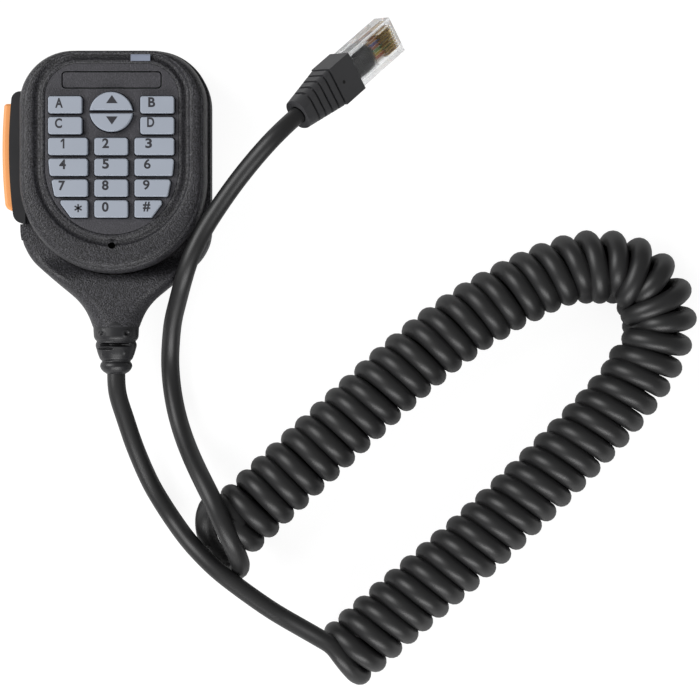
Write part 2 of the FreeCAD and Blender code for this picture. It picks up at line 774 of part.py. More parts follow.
# ---------------------------------------------------------------- push-to-talk lever
def bowed_block(out_x, in_x, bottom_y, top_y, lower_radius, upper_radius, low, high):
    """Block whose left face is bowed and ends in two rounded corners, seen from the front."""
    block = box(out_x, in_x, bottom_y, top_y, low, high)
    block = block.common(post(out_x + ptt_bow_radius, ptt_bow_y, ptt_bow_radius, low, high))
    for y, radius in ((bottom_y, lower_radius), (top_y, upper_radius)):
        corner = [e for e in block.Edges if e.BoundBox.ZLength > high - low - 1e-6
                  and abs(e.BoundBox.Center.y - y) < 1e-6 and e.BoundBox.XMax < (out_x + in_x) / 2]
        block = block.makeFillet(radius, corner)
    return block


def ptt_frame():
    frame = bowed_block(ptt_frame_out_x, ptt_frame_in_x, ptt_frame_bottom_y, ptt_frame_top_y,
                        ptt_frame_lower_radius, ptt_frame_upper_radius, ptt_frame_low_z, ptt_frame_high_z)
    opening = box(ptt_frame_out_x - 1, ptt_frame_in_x + 1, ptt_bar_bottom_y - ptt_end_gap,
                  ptt_bar_top_y + ptt_end_gap, ptt_frame_low_z + ptt_frame_wall,
                  ptt_frame_high_z - ptt_frame_wall)
    frame = frame.cut(opening)
    seat = box(ptt_frame_in_x - spring_seat_thickness, ptt_frame_in_x, spring_y - spring_seat_width / 2,
               spring_y + spring_seat_width / 2, ptt_frame_low_z, ptt_frame_high_z)
    frame = frame.fuse(seat)
    return frame.cut(ptt_pin()).removeSplitter()


def ptt_pin():
    return post(ptt_pin_x, ptt_pin_y, ptt_pin_radius, ptt_frame_low_z, ptt_frame_high_z - ptt_pin_cap)


def ptt_lever():
    low = ptt_frame_low_z + ptt_frame_wall + ptt_side_gap
    high = ptt_frame_high_z - ptt_frame_wall - ptt_side_gap
    bar = bowed_block(ptt_bar_out_x, ptt_bar_in_x, ptt_bar_bottom_y, ptt_bar_top_y,
                      ptt_bar_lower_radius, ptt_bar_upper_radius, low, high)
    rounded = [e for e in bar.Edges if e.BoundBox.XMin < ptt_bar_out_x + 1 and e.BoundBox.ZLength < 1e-6
               and e.BoundBox.YLength > ptt_bar_lower_radius + 1]
    bar = bar.makeFillet(edge_fillet * 0.8, rounded)
    boss = post(ptt_pin_x, ptt_pin_y, ptt_boss_radius, low, high)
    foot = box(ptt_bar_in_x - 0.5, ptt_bar_in_x + ptt_foot_reach, ptt_foot_y - ptt_foot_width / 2,
               ptt_foot_y + ptt_foot_width / 2, low + 3, high)
    middle_z = (low + high) / 2
    pocket = Part.makeCylinder(spring_pocket_radius, spring_pocket_depth,
                               Vector(ptt_bar_in_x - spring_pocket_depth, spring_y, middle_z), Vector(1, 0, 0))
    lever = bar.fuse([boss, foot]).cut(pocket)
    return lever.cut(post(ptt_pin_x, ptt_pin_y, ptt_pin_radius + pin_clearance, 0, face_z))


def ptt_spring():
    """Compression spring between the lever's pocket and the frame's seat."""
    start = ptt_bar_in_x - spring_pocket_depth + spring_wire_radius
    end = ptt_frame_in_x - spring_seat_thickness - spring_wire_radius
    pitch = (end - start) / spring_turns
    helix = Part.makeHelix(pitch, end - start, spring_radius)
    ring = Part.Wire([Part.makeCircle(spring_wire_radius, Vector(spring_radius, 0, 0), Vector(0, 1, 0))])
    coil = Part.Wire(helix.Edges).makePipeShell([ring], True, True)
    middle_z = (ptt_frame_low_z + ptt_frame_high_z) / 2
    coil.Placement = FreeCAD.Placement(Vector(start, spring_y, middle_z),
                                       FreeCAD.Rotation(Vector(0, 1, 0), 90))
    return coil


def plunger_tip_x():
    return ptt_bar_in_x + ptt_foot_reach + plunger_gap


def plunger_prism(grow, x0, x1):
    middle_z = board_low_z - switch_height / 2
    return box(x0, x1, ptt_foot_y - plunger_width / 2 - grow, ptt_foot_y + plunger_width / 2 + grow,
               middle_z - plunger_height / 2 - grow, middle_z + plunger_height / 2 + grow)


def ptt_plunger():
    return plunger_prism(0, plunger_tip_x(), plunger_tip_x() + plunger_length)


def ptt_switch():
    x = plunger_tip_x() + plunger_stand_out
    body = box(x, x + switch_length, ptt_foot_y - switch_width / 2, ptt_foot_y + switch_width / 2,
               board_low_z - switch_height, board_low_z)
    return body.cut(plunger_prism(plunger_clearance, x - 1, x + plunger_length))


# ---------------------------------------------------------------- strain relief and inner cord
def strain_relief():
    """Turned rubber relief: a shank in the neck, a collar, two waists and a nose."""
    profile = [(neck_end_y + relief_shank_length, cord_radius), (neck_end_y + relief_shank_length, relief_shank_radius),
               (neck_end_y, relief_shank_radius), (neck_end_y, relief_collar_radius),
               (relief_collar_y, relief_collar_radius), (relief_collar_y, relief_slot_radius),
               (relief_second_y, relief_slot_radius), (relief_second_y, relief_second_radius),
               (relief_second_end_y, relief_second_end_radius), (relief_second_end_y, relief_groove_radius),
               (relief_nose_y, relief_groove_radius), (relief_nose_y, relief_nose_radius),
               (relief_end_y, relief_nose_end_radius), (relief_end_y, cord_radius)]
    points = [Vector(r, y, cord_exit_z) for y, r in profile]
    face = Part.Face(Part.makePolygon(points + [points[0]]))
    return face.revolve(Vector(0, 0, cord_exit_z), Vector(0, 1, 0), 360)


def cord_inside():
    return rod_along_y(cord_radius, relief_end_y, cord_inner_end_y, 0, cord_exit_z)


def cord_tie():
    start = neck_end_y + relief_shank_length + 0.2
    ring = rod_along_y(cord_radius + cord_tie_wall, start, start + cord_tie_width, 0, cord_exit_z)
    return ring.cut(rod_along_y(cord_radius, start - 1, start + cord_tie_width + 1, 0, cord_exit_z))


def inner_wires():
    header_y = board_bottom_y + header_setback
    header_z = board_low_z - header_height / 2
    wires = []
    for offset in inner_wire_offsets:
        points = [Vector(offset * 0.7, cord_inner_end_y, cord_exit_z),
                  Vector(offset, cord_inner_end_y + inner_wire_lead, cord_exit_z - 0.4),
                  Vector(offset * 1.8, header_y - inner_wire_bend_run, header_z - inner_wire_bend_drop),
                  Vector(offset * 2.2, header_y, header_z)]
        wires.append(tube(points, inner_wire_radius))
    return Part.makeCompound(wires)


# ---------------------------------------------------------------- plug, in its own frame
# local +X runs to the nose, +Y across the plug and +Z out of the contact side, from the nose's centre
def plug_placement():
    heading = math.radians(plug_heading_degrees)
    pitch = math.radians(plug_pitch_degrees)
    roll = math.radians(plug_roll_degrees)
    axis = Vector(math.cos(heading) * math.cos(pitch), math.sin(heading) * math.cos(pitch), -math.sin(pitch))
    right = Vector(math.sin(heading), -math.cos(heading), 0)
    up = Vector(math.cos(heading) * math.sin(pitch), math.sin(heading) * math.sin(pitch), math.cos(pitch))
    out = up * math.cos(roll) + right * math.sin(roll)
    across = up * math.sin(roll) - right * math.cos(roll)
    nose_z = plug_half_height * out.z + plug_half_width * across.z
    turn = FreeCAD.Rotation(axis, across, out, "XYZ")
    return FreeCAD.Placement(Vector(plug_nose_x, plug_nose_y, nose_z), turn)


def placed(shape):
    shape.Placement = plug_placement().multiply(shape.Placement)
    return shape


def contact_offsets():
    first = -(plug_contact_count - 1) / 2
    return [(first + i) * plug_contact_pitch for i in range(plug_contact_count)]


def plug_body():
    body = box(-plug_length, 0, -plug_half_width, plug_half_width, -plug_half_height, plug_half_height)
    rear = -plug_length
    body = body.cut(box(rear - 1, rear + plug_cavity_length, -plug_cavity_half_width, plug_cavity_half_width,
                        -plug_cavity_half_height, plug_cavity_half_height))
    body = body.cut(box(rear + plug_cavity_length - 1, -plug_contact_setback, -plug_cavity_half_width,
                        plug_cavity_half_width, -2 * plug_wire_radius, 0))
    half = plug_contact_thickness / 2
    for y in contact_offsets():
        body = body.cut(box(-plug_contact_setback - plug_contact_length, -plug_contact_setback, y - half,
                            y + half, -0.01, plug_half_height + 1))
    return placed(body)


def plug_contacts():
    half = plug_contact_thickness / 2
    plates = [box(-plug_contact_setback - plug_contact_length, -plug_contact_setback, y - half, y + half,
                  0, plug_half_height - 0.5) for y in contact_offsets()]
    return placed(Part.makeCompound(plates))


def plug_wires():
    rear = -plug_length + plug_cavity_length - 0.5
    wires = [Part.makeCylinder(plug_wire_radius, -plug_contact_setback - rear,
                               Vector(rear, y, -plug_wire_radius), Vector(1, 0, 0)) for y in contact_offsets()]
    return placed(Part.makeCompound(wires))


def plug_jacket():
    """Cord jacket inside the boot, pressed flat where the plug grips it."""
    rear = -plug_length - boot_length + boot_overlap
    round_part = Part.makeCylinder(cord_radius, -plug_length + 0.5 - rear, Vector(rear, 0, 0), Vector(1, 0, 0))
    flat_end = -plug_length + plug_cavity_length - 0.5
    flat = box(-plug_length, flat_end, -plug_jacket_half_width, plug_jacket_half_width,
               -plug_jacket_half_height, plug_jacket_half_height)
    long_edges = [e for e in flat.Edges if e.BoundBox.XLength > 1]
    flat = flat.makeFillet(plug_jacket_half_height * 0.8, long_edges)
    hold = box(-plug_length - boot_length - 1, flat_end, -cord_radius, cord_radius,
               -plug_cavity_half_height, plug_cavity_half_height)
    round_in_plug = round_part.common(hold)
    round_in_boot = round_part.cut(box(-plug_length, 0, -boot_half_width, boot_half_width, -boot_half_width, boot_half_width))
    return placed(round_in_boot.fuse([round_in_plug, flat]).removeSplitter())


def boot_section(x, half_width, half_height, radius):
    wire = rounded_wire([(half_width, -half_height, radius), (half_width, half_height, radius),
                         (-half_width, half_height, radius), (-half_width, -half_height, radius)])
    wire.Placement = FreeCAD.Placement(Vector(x, 0, 0), FreeCAD.Rotation(Vector(0, 1, 0), Vector(0, 0, 1),
                                                                         Vector(1, 0, 0), "XYZ"))
    return wire


def plug_boot():
    mouth = -plug_length + boot_overlap
    rear = mouth - boot_length
    shoulder = mouth - boot_box_length
    tail = boot_section(rear, boot_tail_half_width, boot_tail_half_height, boot_tail_half_height * 0.9)
    joint = boot_section(shoulder, boot_half_width, boot_half_height, 1.0)
    boot = Part.makeLoft([tail, joint], True, True)
    boot = boot.fuse(box(shoulder, mouth, -boot_half_width, boot_half_width, -boot_half_height, boot_half_height))
    pitch = (shoulder - rear - 1.5) / boot_groove_count
    for i in range(boot_groove_count):
        x = shoulder - i * pitch
        share = (shoulder - x) / (shoulder - rear)
        half_width = boot_half_width + (boot_tail_half_width - boot_half_width) * share - boot_groove_depth
        half_height = boot_half_height + (boot_tail_half_height - boot_half_height) * share - boot_groove_depth
        core = box(x - boot_groove_width, x, -half_width, half_width, -half_height, half_height)
        ring = box(x - boot_groove_width, x, -2 * boot_half_width, 2 * boot_half_width,
                   -2 * boot_half_height, 2 * boot_half_height).cut(core)
        boot = boot.cut(ring)
    boot = boot.cut(box(-plug_length, 1, -plug_half_width, plug_half_width, -plug_half_height, plug_half_height))
    boot = boot.cut(Part.makeCylinder(cord_radius, boot_length + 2, Vector(rear - 1, 0, 0), Vector(1, 0, 0)))
    return placed(boot.removeSplitter())


def latch_root():
    """The latch's pivot line, in the plug's own frame."""
    return Vector(-latch_root_setback, 0, -plug_half_height - latch_gap - latch_thickness / 2)


def plug_latch():
    arm = box(-latch_length, 0, -latch_half_width, latch_half_width, -latch_thickness / 2, latch_thickness / 2)
    root = latch_root()
    arm.Placement = FreeCAD.Placement(root, FreeCAD.Rotation(Vector(0, 1, 0), -latch_lift_degrees))
    return placed(arm)


# ---------------------------------------------------------------- cord
def vectors(route, height=None):
    return [Vector(p[0], p[1], p[2] if height is None else height) for p in route]


def cord_mic_tail():
    exit_point = Vector(0, relief_end_y, cord_exit_z)
    return tube([exit_point] + vectors(mic_tail_route), cord_radius, "cord_mic_tail")


def cord_coil():
    return tube(vectors(coil_route, coil_radius), coil_radius, "cord_coil")


def cord_plug_tail():
    entry_x = -plug_length - boot_length + boot_overlap
    ends = [plug_placement().multVec(Vector(x, 0, 0)) for x in (entry_x - boot_lead, entry_x)]
    print("cord ends", ends)
    return tube(vectors(plug_tail_route) + ends, cord_radius, "cord_plug_tail")


def all_nodes():
    nodes = {
        "front_cover": front_cover(), "rear_shell": rear_shell(), "key_mat": key_mat(),
        "circuit_board": circuit_board(), "board_chips": board_chips(), "board_header": board_header(),
        "lamp_lens": lamp_lens(), "lamp_chip": lamp_chip(),
        "mic_boot": mic_boot(), "mic_capsule": mic_capsule(),
        "case_screws": case_screws(), "board_screws": board_screws(),
        "hanger_button": hanger_button(), "hanger_nut": hanger_nut(),
        "ptt_frame": ptt_frame(), "ptt_lever": ptt_lever(), "ptt_pin": ptt_pin(), "ptt_spring": ptt_spring(),
        "ptt_switch": ptt_switch(), "ptt_plunger": ptt_plunger(),
        "strain_relief": strain_relief(), "cord_inside": cord_inside(), "cord_tie": cord_tie(),
        "inner_wires": inner_wires(),
        "plug_body": plug_body(), "plug_contacts": plug_contacts(), "plug_wires": plug_wires(),
        "plug_jacket": plug_jacket(), "plug_boot": plug_boot(), "plug_latch": plug_latch(),
        "cord_mic_tail": cord_mic_tail(), "cord_coil": cord_coil(), "cord_plug_tail": cord_plug_tail(),
    }
    nodes.update(key_solids())
    return nodes


def main():
    os.makedirs("parts", exist_ok=True)
    for name, shape in all_nodes().items():
        if not shape.isValid() or shape.Volume <= 0:
            print("not valid:", name)
        shape.exportStep("parts/%s.step" % name)
        print(name, len(shape.Solids), round(shape.Volume, 2))
    pivot = plug_placement().multVec(latch_root())
    across = plug_placement().Rotation.multVec(Vector(0, 1, 0))
    print("latch pivot", pivot, "axis", across)


main()
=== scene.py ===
import math

import bpy
import numpy as np
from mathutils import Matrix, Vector


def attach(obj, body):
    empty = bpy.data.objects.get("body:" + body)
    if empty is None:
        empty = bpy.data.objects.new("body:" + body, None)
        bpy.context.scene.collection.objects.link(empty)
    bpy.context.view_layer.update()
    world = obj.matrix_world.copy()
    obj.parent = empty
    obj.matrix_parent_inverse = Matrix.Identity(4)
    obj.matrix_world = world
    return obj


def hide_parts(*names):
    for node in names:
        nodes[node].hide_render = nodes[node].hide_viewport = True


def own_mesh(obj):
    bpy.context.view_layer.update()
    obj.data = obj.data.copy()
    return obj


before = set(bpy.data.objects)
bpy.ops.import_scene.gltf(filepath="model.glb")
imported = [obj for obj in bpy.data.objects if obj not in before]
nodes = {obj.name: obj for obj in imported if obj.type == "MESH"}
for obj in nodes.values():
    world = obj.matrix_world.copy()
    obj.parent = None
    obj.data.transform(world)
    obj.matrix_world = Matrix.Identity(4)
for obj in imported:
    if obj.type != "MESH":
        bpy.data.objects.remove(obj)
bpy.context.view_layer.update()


# ---------------------------------------------------------------- camera
# A product shot from straight above the table, with the whole microphone and its cord in a square frame.
# The long lens keeps the tall pieces from leaning outward.
camera_data = bpy.data.cameras.new("camera")
camera_data.sensor_width = 36.0
camera_data.lens = 116.9
camera = bpy.data.objects.new("camera", camera_data)
camera.location = (0.0705, -0.056, 0.700)
bpy.context.scene.collection.objects.link(camera)
bpy.context.scene.camera = camera


# ---------------------------------------------------------------- cord
# A curly cord of black PVC: soft jacket, satin, extruded round and wound hot on a rod for its middle stretch.
# Both ends are left straight and lie loosely. It is one line from the strain relief to the plug's boot.
cord_diameter = 0.0055
coil_centre_radius = 0.00760
coil_turns = 49.75
coil_fullness = 1.13
plug_tail_fullness = 0.95
turn_points = 16
lean_length = 0.0009
lean_way = np.array([0.76, 0.65, 0.0])
cord_exit = (0.0, -0.0632, 0.0145)
mic_tail_route = [
    (0.0000, -0.0668, 0.0145), (0.0007, -0.0710, 0.0136), (0.0023, -0.0760, 0.0124),
    (0.0049, -0.0849, 0.0100),
    (0.0091, -0.0958, 0.0060), (0.0125, -0.1020, 0.0046), (0.0166, -0.1082, 0.0049),
    (0.0203, -0.1128, 0.0079), (0.0238, -0.1165, 0.0107), (0.0299, -0.1224, 0.0127),
    (0.0375, -0.1282, 0.0131), (0.0457, -0.1339, 0.0137), (0.0509, -0.1370, 0.0142),
    (0.0562, -0.1398, 0.0156), (0.0615, -0.1426, 0.0174), (0.0653, -0.1447, 0.0183),
    (0.0677, -0.1480, 0.0182),
]
coil_route = [
    (0.0671, -0.1503), (0.0860, -0.1336), (0.1090, -0.1144), (0.1340, -0.0905), (0.1550, -0.0685),
    (0.1655, -0.0510), (0.1640, -0.0380), (0.1540, -0.0304), (0.1390, -0.0299), (0.1140, -0.0415),
    (0.0920, -0.0570), (0.0665, -0.0805), (0.0474, -0.0980), (0.0346, -0.1099),
]
coil_axis_height = 0.0109
coil_stagger = 0.0021
coil_full_bend = 0.005
coil_yaw_shares = [0, 0.05, 0.42, 0.5, 0.6, 0.8, 0.93, 1]
coil_yaw_millimetres = [0, 0.7, 0.7, 0.2, 0.2, 0.1, -0.8, -0.8]
coil_start = 0.0020
coil_stop_short = 0.0015
coil_lead_in = [(0.0700, -0.1512, 0.0166), (0.0722, -0.1540, 0.0136)]
plug_tail_route = [
    (0.0369, -0.1076, 0.0178), (0.0332, -0.1028, 0.0170), (0.0291, -0.1019, 0.0140),
    (0.0271, -0.1042, 0.0105), (0.0262, -0.1081, 0.0075), (0.0265, -0.1126, 0.0048),
    (0.0282, -0.1167, 0.0032), (0.0307, -0.1203, 0.0030), (0.0338, -0.1230, 0.0046),
    (0.0366, -0.1232, 0.0082), (0.0375, -0.1208, 0.0122), (0.0363, -0.1170, 0.0166),
    (0.0349, -0.1132, 0.0200), (0.0322, -0.1073, 0.0220), (0.0299, -0.1016, 0.0218),
    (0.0263, -0.0951, 0.0185), (0.0231, -0.0894, 0.0135), (0.0203, -0.0835, 0.0090),
    (0.0181, -0.0775, 0.0058), (0.0166, -0.0715, 0.0042), (0.0157, -0.0653, 0.0037),
    (0.0154, -0.0592, 0.0044), (0.0159, -0.0531, 0.0070), (0.0168, -0.0471, 0.0110),
    (0.0187, -0.0411, 0.0156), (0.0206, -0.0354, 0.0209), (0.0229, -0.0286, 0.0238),
    (0.0267, -0.0208, 0.0243), (0.0314, -0.0137, 0.0258), (0.0366, -0.0066, 0.0278),
    (0.0428, 0.0008, 0.0306),
]
boot_lead = (0.049977, 0.0084415, 0.032398)
boot_entry = (0.0551737, 0.0135483, 0.0280201)


def nurbs_curve(name, points, resolution, fullness=1.0):
    """One open NURBS spline through its end points: the quadratic B-spline of the control points."""
    data = bpy.data.curves.new(name, "CURVE")
    data.dimensions = "3D"
    data.resolution_u = resolution
    spline = data.splines.new("NURBS")
    spline.points.add(len(points) - 1)
    spline.points.foreach_set("co", np.column_stack([points, np.ones(len(points))]).ravel())
    spline.points.foreach_set("radius", np.broadcast_to(fullness, len(points)).astype(float))
    spline.order_u = 3
    spline.use_endpoint_u = True
    curve = bpy.data.objects.new(name, data)
    bpy.context.scene.collection.objects.link(curve)
    return curve


def line_points(curve):
    """Points along a curve that has no bevel, in order."""
    mesh = bpy.data.meshes.new_from_object(curve)
    points = np.empty(len(mesh.vertices) * 3)
    mesh.vertices.foreach_get("co", points)
    bpy.data.meshes.remove(mesh)
    return points.reshape(-1, 3)


def coil_points():
    """Helix round the coil's axis.

    The point is axis(s) + r (Z cos a + (T x Z) sin a) + lean T cos a, with a = 2 pi turns s. Inside a bend
    every second turn rides further out, and a slow yaw along the coil slants the turns.
    """
    axis_curve = nurbs_curve("coil_axis", [(x, y, coil_axis_height) for x, y in coil_route], 16)
    axis = line_points(axis_curve)
    bpy.data.objects.remove(axis_curve)
    steps = np.linalg.norm(np.diff(axis, axis=0), axis=1)
    along = np.concatenate([[0.0], np.cumsum(steps)])
    count = int(coil_turns * turn_points) + 1
    s = np.linspace(coil_start, along[-1] - coil_stop_short, count)
    angle = math.pi / 2 + np.linspace(0, 2 * math.pi * coil_turns, count)
    centre = np.column_stack([np.interp(s, along, axis[:, i]) for i in range(3)])
    window = 0.004
    ahead = np.column_stack([np.interp(s + window, along, axis[:, i]) for i in range(3)])
    behind = np.column_stack([np.interp(s - window, along, axis[:, i]) for i in range(3)])
    tangent = ahead - behind
    tangent /= np.linalg.norm(tangent, axis=1)[:, None]
    side = np.cross(tangent, (0.0, 0.0, 1.0))
    # inside the bend the turns crowd, and every second one rides further out
    far = 0.010
    before = np.column_stack([np.interp(s - far, along, axis[:, i]) for i in range(3)])
    after = np.column_stack([np.interp(s + far, along, axis[:, i]) for i in range(3)])
    bend = after + before - 2 * centre
    bend_amount = np.linalg.norm(bend, axis=1)
    inward = bend / np.maximum(bend_amount, 1e-9)[:, None]
    radial = np.cos(angle)[:, None] * np.array([0.0, 0.0, 1.0]) + np.sin(angle)[:, None] * side
    inner = np.clip((radial * inward).sum(axis=1), 0, 1) * np.clip(bend_amount / coil_full_bend, 0, 1)
    turn = np.floor((angle + math.pi / 2) / (2 * math.pi))
    stagger = coil_stagger * np.where(turn % 2 == 0, 1.0, -1.0) * inner ** 1.5
    control = coil_centre_radius / math.cos(math.pi / turn_points)
    uneven = 0.00012 * np.sin(angle * 0.37) + 0.00010 * np.sin(angle * 0.61 + 1.0)
    straight = 1 - np.clip(bend_amount / coil_full_bend, 0, 1)
    lean = lean_length * (tangent @ lean_way) * np.cos(angle) * straight
    share = s / along[-1]
    yaw = np.interp(share, coil_yaw_shares, coil_yaw_millimetres) * 0.001
    forth = lean + uneven + yaw * np.sin(angle)
    return centre + radial * (control + stagger)[:, None] + tangent * forth[:, None]


coil = coil_points()
before_coil = [cord_exit] + mic_tail_route + coil_lead_in
after_coil = plug_tail_route + [boot_lead, boot_entry]
cord_points = np.vstack([before_coil, coil, after_coil])
cord_fullness = np.concatenate([np.linspace(1.0, 1.0, len(before_coil)), np.full(len(coil), coil_fullness),
                                np.linspace(coil_fullness, plug_tail_fullness, len(after_coil))])
cord = nurbs_curve("cord", cord_points, 4, cord_fullness)
cord.data.bevel_depth = cord_diameter / 2
cord.data.bevel_resolution = 7
cord.data.use_fill_caps = True


def new_material(name):
    """Node material: its nodes, its links and its Principled surface."""
    material = bpy.data.materials.new(name)
    material.use_nodes = True
    tree = material.node_tree
    return material, tree, tree.nodes["Principled BSDF"]


def add(tree, kind, **values):
    """Node with its properties set by name and its input sockets by number, as in i2=0.5."""
    node = tree.nodes.new("ShaderNode" + kind)
    for key, value in values.items():
        if key[0] == "i" and key[1:].isdigit():
            node.inputs[int(key[1:])].default_value = value
        else:
            setattr(node, key, value)
    return node


def object_noise(tree, scale, detail=4.0, roughness=0.6):
    """Noise of the object's own coordinates; its Fac output runs from 0 to 1."""
    place = add(tree, "TexCoord")
    noise = add(tree, "TexNoise")
    noise.inputs["Scale"].default_value = scale
    noise.inputs["Detail"].default_value = detail
    noise.inputs["Roughness"].default_value = roughness
    tree.links.new(place.outputs["Object"], noise.inputs["Vector"])
    return noise


def plain_finish(name, colour, roughness, vary=0.15, bump=0.2, scale=900.0, metallic=0.0):
    """Moulded or machined surface: its colour and gloss vary a little, over a fine bump."""
    material, tree, surface = new_material(name)
    noise = object_noise(tree, scale * 0.1)
    tone = add(tree, "MapRange")
    tone.inputs["To Min"].default_value = 1.0 - vary
    tone.inputs["To Max"].default_value = 1.0 + vary
    shade = add(tree, "VectorMath", operation="SCALE")
    shade.inputs[0].default_value = colour
    gloss = add(tree, "MapRange")
    gloss.inputs["To Min"].default_value = roughness * 0.85
    gloss.inputs["To Max"].default_value = min(1.0, roughness * 1.15)
    fine = object_noise(tree, scale)
    raised = add(tree, "Bump")
    raised.inputs["Strength"].default_value = bump
    raised.inputs["Distance"].default_value = 0.00005
    link = tree.links.new
    link(noise.outputs[0], tone.inputs["Value"])
    link(tone.outputs[0], shade.inputs["Scale"])
    link(shade.outputs[0], surface.inputs["Base Color"])
    link(noise.outputs[0], gloss.inputs["Value"])
    link(gloss.outputs[0], surface.inputs["Roughness"])
    link(fine.outputs[0], raised.inputs["Height"])
    link(raised.outputs[0], surface.inputs["Normal"])
    surface.inputs["Metallic"].default_value = metallic
    return material


cord.data.materials.append(plain_finish("cord_jacket", (0.0175, 0.0175, 0.018), 0.42, bump=0.15))
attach(cord, "case")
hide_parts("cord_mic_tail", "cord_coil", "cord_plug_tail")
cord_line = line_points(nurbs_curve("cord_line", cord_points, 4))
bpy.data.objects.remove(bpy.data.objects["cord_line"])


# ---------------------------------------------------------------- front cover
# Moulded black ABS. The middle is a smoother panel for the keys behind a shallow groove; round it runs a
# band of coarse spark-eroded grain, and a thin step along the outer edge before the side wall drops.
cover_half_width = 0.0278
cover_top = 0.0330
cover_bottom = -0.0332
cover_corner_radius = 0.0160
cover_face = 0.0280
cover_parting = 0.0170
panel_side = 0.0209
panel_top = 0.0299
panel_bottom = -0.0230
panel_corner_radius = 0.0110
arc_steps = 24


def outline_points(half, top, bottom, corner, z):
    """Closed line: straight sides, a half circle of radius half below, and top corners of radius corner."""
    low_centre = bottom + half
    a = np.linspace(math.pi, 2 * math.pi, 2 * arc_steps)
    low = np.column_stack([half * np.cos(a), low_centre + half * np.sin(a)])
    a = np.linspace(0, math.pi / 2, arc_steps)
    right = np.column_stack([half - corner + corner * np.cos(a), top - corner + corner * np.sin(a)])
    left = right[::-1] * (-1, 1)
    side = np.linspace(0, 1, 12)[1:-1, None]
    right_side = low[-1] + (right[0] - low[-1]) * side
    left_side = left[-1] + (low[0] - left[-1]) * side
    brow = right[-1] + (left[0] - right[-1]) * side
    line = np.vstack([low, right_side, right, brow, left, left_side])
    return np.column_stack([line, np.full(len(line), z)])


def shell_between(name, rings, joined=False):
    """Mesh of quads between rings of points that run the same way; joined closes the last to the first."""
    count = len(rings[0])
    points = np.vstack(rings)
    faces = []
    for i in range(len(rings) - (0 if joined else 1)):
        here, there = i * count, (i + 1) % len(rings) * count
        for j in range(count):
            k = (j + 1) % count
            faces.append((here + j, there + j, there + k, here + k))
    if not joined:
        faces += [tuple(range(count)), tuple(range(len(points) - 1, len(points) - count - 1, -1))]
    mesh = bpy.data.meshes.new(name)
    mesh.from_pydata(points.tolist(), [], faces)
    for polygon in mesh.polygons:
        polygon.use_smooth = len(polygon.vertices) == 4
    piece = bpy.data.objects.new(name, mesh)
    bpy.context.scene.collection.objects.link(piece)
    return piece


def panel_ring(inset, z):
    """Outline of the key panel drawn in by the inset, at height z."""
    return outline_points(panel_side - inset, panel_top - inset, panel_bottom + inset,
                          panel_corner_radius - inset, z)


def cover_ring(inset, z):
    """Outline of the whole cover drawn in by the inset, at height z."""
    return outline_points(cover_half_width - inset, cover_top - inset, cover_bottom + inset,
                          cover_corner_radius - inset, z)


def band_ring(share, z):
    """Ring part of the way from the panel's groove to the rim."""
    return panel_ring(-0.0026, z) * (1 - share) + cover_ring(0.0017, z) * share


rings = [panel_ring(0.0012, cover_face - 0.0003), panel_ring(0.0002, cover_face - 0.0003),
         panel_ring(0.0, cover_face - 0.0004), panel_ring(-0.0005, cover_face - 0.0011),
         panel_ring(-0.0014, cover_face - 0.0012), panel_ring(-0.0020, cover_face - 0.0006),
         panel_ring(-0.0023, cover_face - 0.0001), panel_ring(-0.0026, cover_face),
         band_ring(0.25, cover_face), band_ring(0.5, cover_face), band_ring(0.8, cover_face - 0.0001),
         band_ring(0.95, cover_face - 0.00025), cover_ring(0.0017, cover_face - 0.0007),
         cover_ring(0.0015, cover_face - 0.0010), cover_ring(0.0013, cover_face - 0.0009),
         cover_ring(0.0009, cover_face - 0.0012), cover_ring(0.0005, cover_face - 0.0019),
         cover_ring(0.0002, cover_face - 0.0028), cover_ring(0.0, cover_face - 0.0040),
         cover_ring(0.0, 0.5 * (cover_face + cover_parting)), cover_ring(0.0, cover_parting),
         cover_ring(0.0020, cover_parting), cover_ring(0.0022, cover_face - 0.0035),
         panel_ring(0.0012, cover_face - 0.0020)]
cover_rim = shell_between("cover_rim", rings, joined=True)


def rounded_polygon(corners, radius, steps=6):
    """Closed line through corners, each replaced by an arc of the radius: centre on the bisector."""
    line = []
    count = len(corners)
    for i in range(count):
        here, before, after = (np.array(corners[j % count], float) for j in (i, i - 1, i + 1))
        u = (before - here) / np.linalg.norm(before - here)
        v = (after - here) / np.linalg.norm(after - here)
        half = math.acos(np.clip(u @ v, -1, 1)) / 2
        begin, end = here + u * radius / math.tan(half), here + v * radius / math.tan(half)
        bisector = (u + v) / np.linalg.norm(u + v)
        centre = here + bisector * radius / math.sin(half)
        a, b = begin - centre, end - centre
        sweep = math.atan2(a[0] * b[1] - a[1] * b[0], a @ b)
        for share in np.linspace(0, 1, steps):
            c, s = math.cos(sweep * share), math.sin(sweep * share)
            line.append(centre + (a[0] * c - a[1] * s, a[0] * s + a[1] * c))
    return line


def flat_curve(name, lines, reach, edge):
    """Flat plate filled between closed lines, with a rounded edge, as a mesh centred on z = 0."""
    data = bpy.data.curves.new(name, "CURVE")
    data.dimensions = "2D"
    data.fill_mode = "BOTH"
    for line in lines:
        spline = data.splines.new("POLY")
        spline.points.add(len(line) - 1)
        spline.points.foreach_set("co", np.column_stack([np.array(line)[:, :2], np.zeros(len(line)),
                                                         np.ones(len(line))]).ravel())
        spline.use_cyclic_u = True
    data.extrude = reach - edge
    data.bevel_depth = edge
    data.bevel_resolution = 2
    data.offset = -edge
    curve = bpy.data.objects.new(name, data)
    bpy.context.scene.collection.objects.link(curve)
    mesh = bpy.data.meshes.new_from_object(curve)
    bpy.data.objects.remove(curve)
    piece = bpy.data.objects.new(name, mesh)
    bpy.context.scene.collection.objects.link(piece)
    return piece


def raised(piece, z):
    """Moves the vertices of a flat plate up to its height."""
    for vertex in piece.data.vertices:
        vertex.co.z += z
    return piece


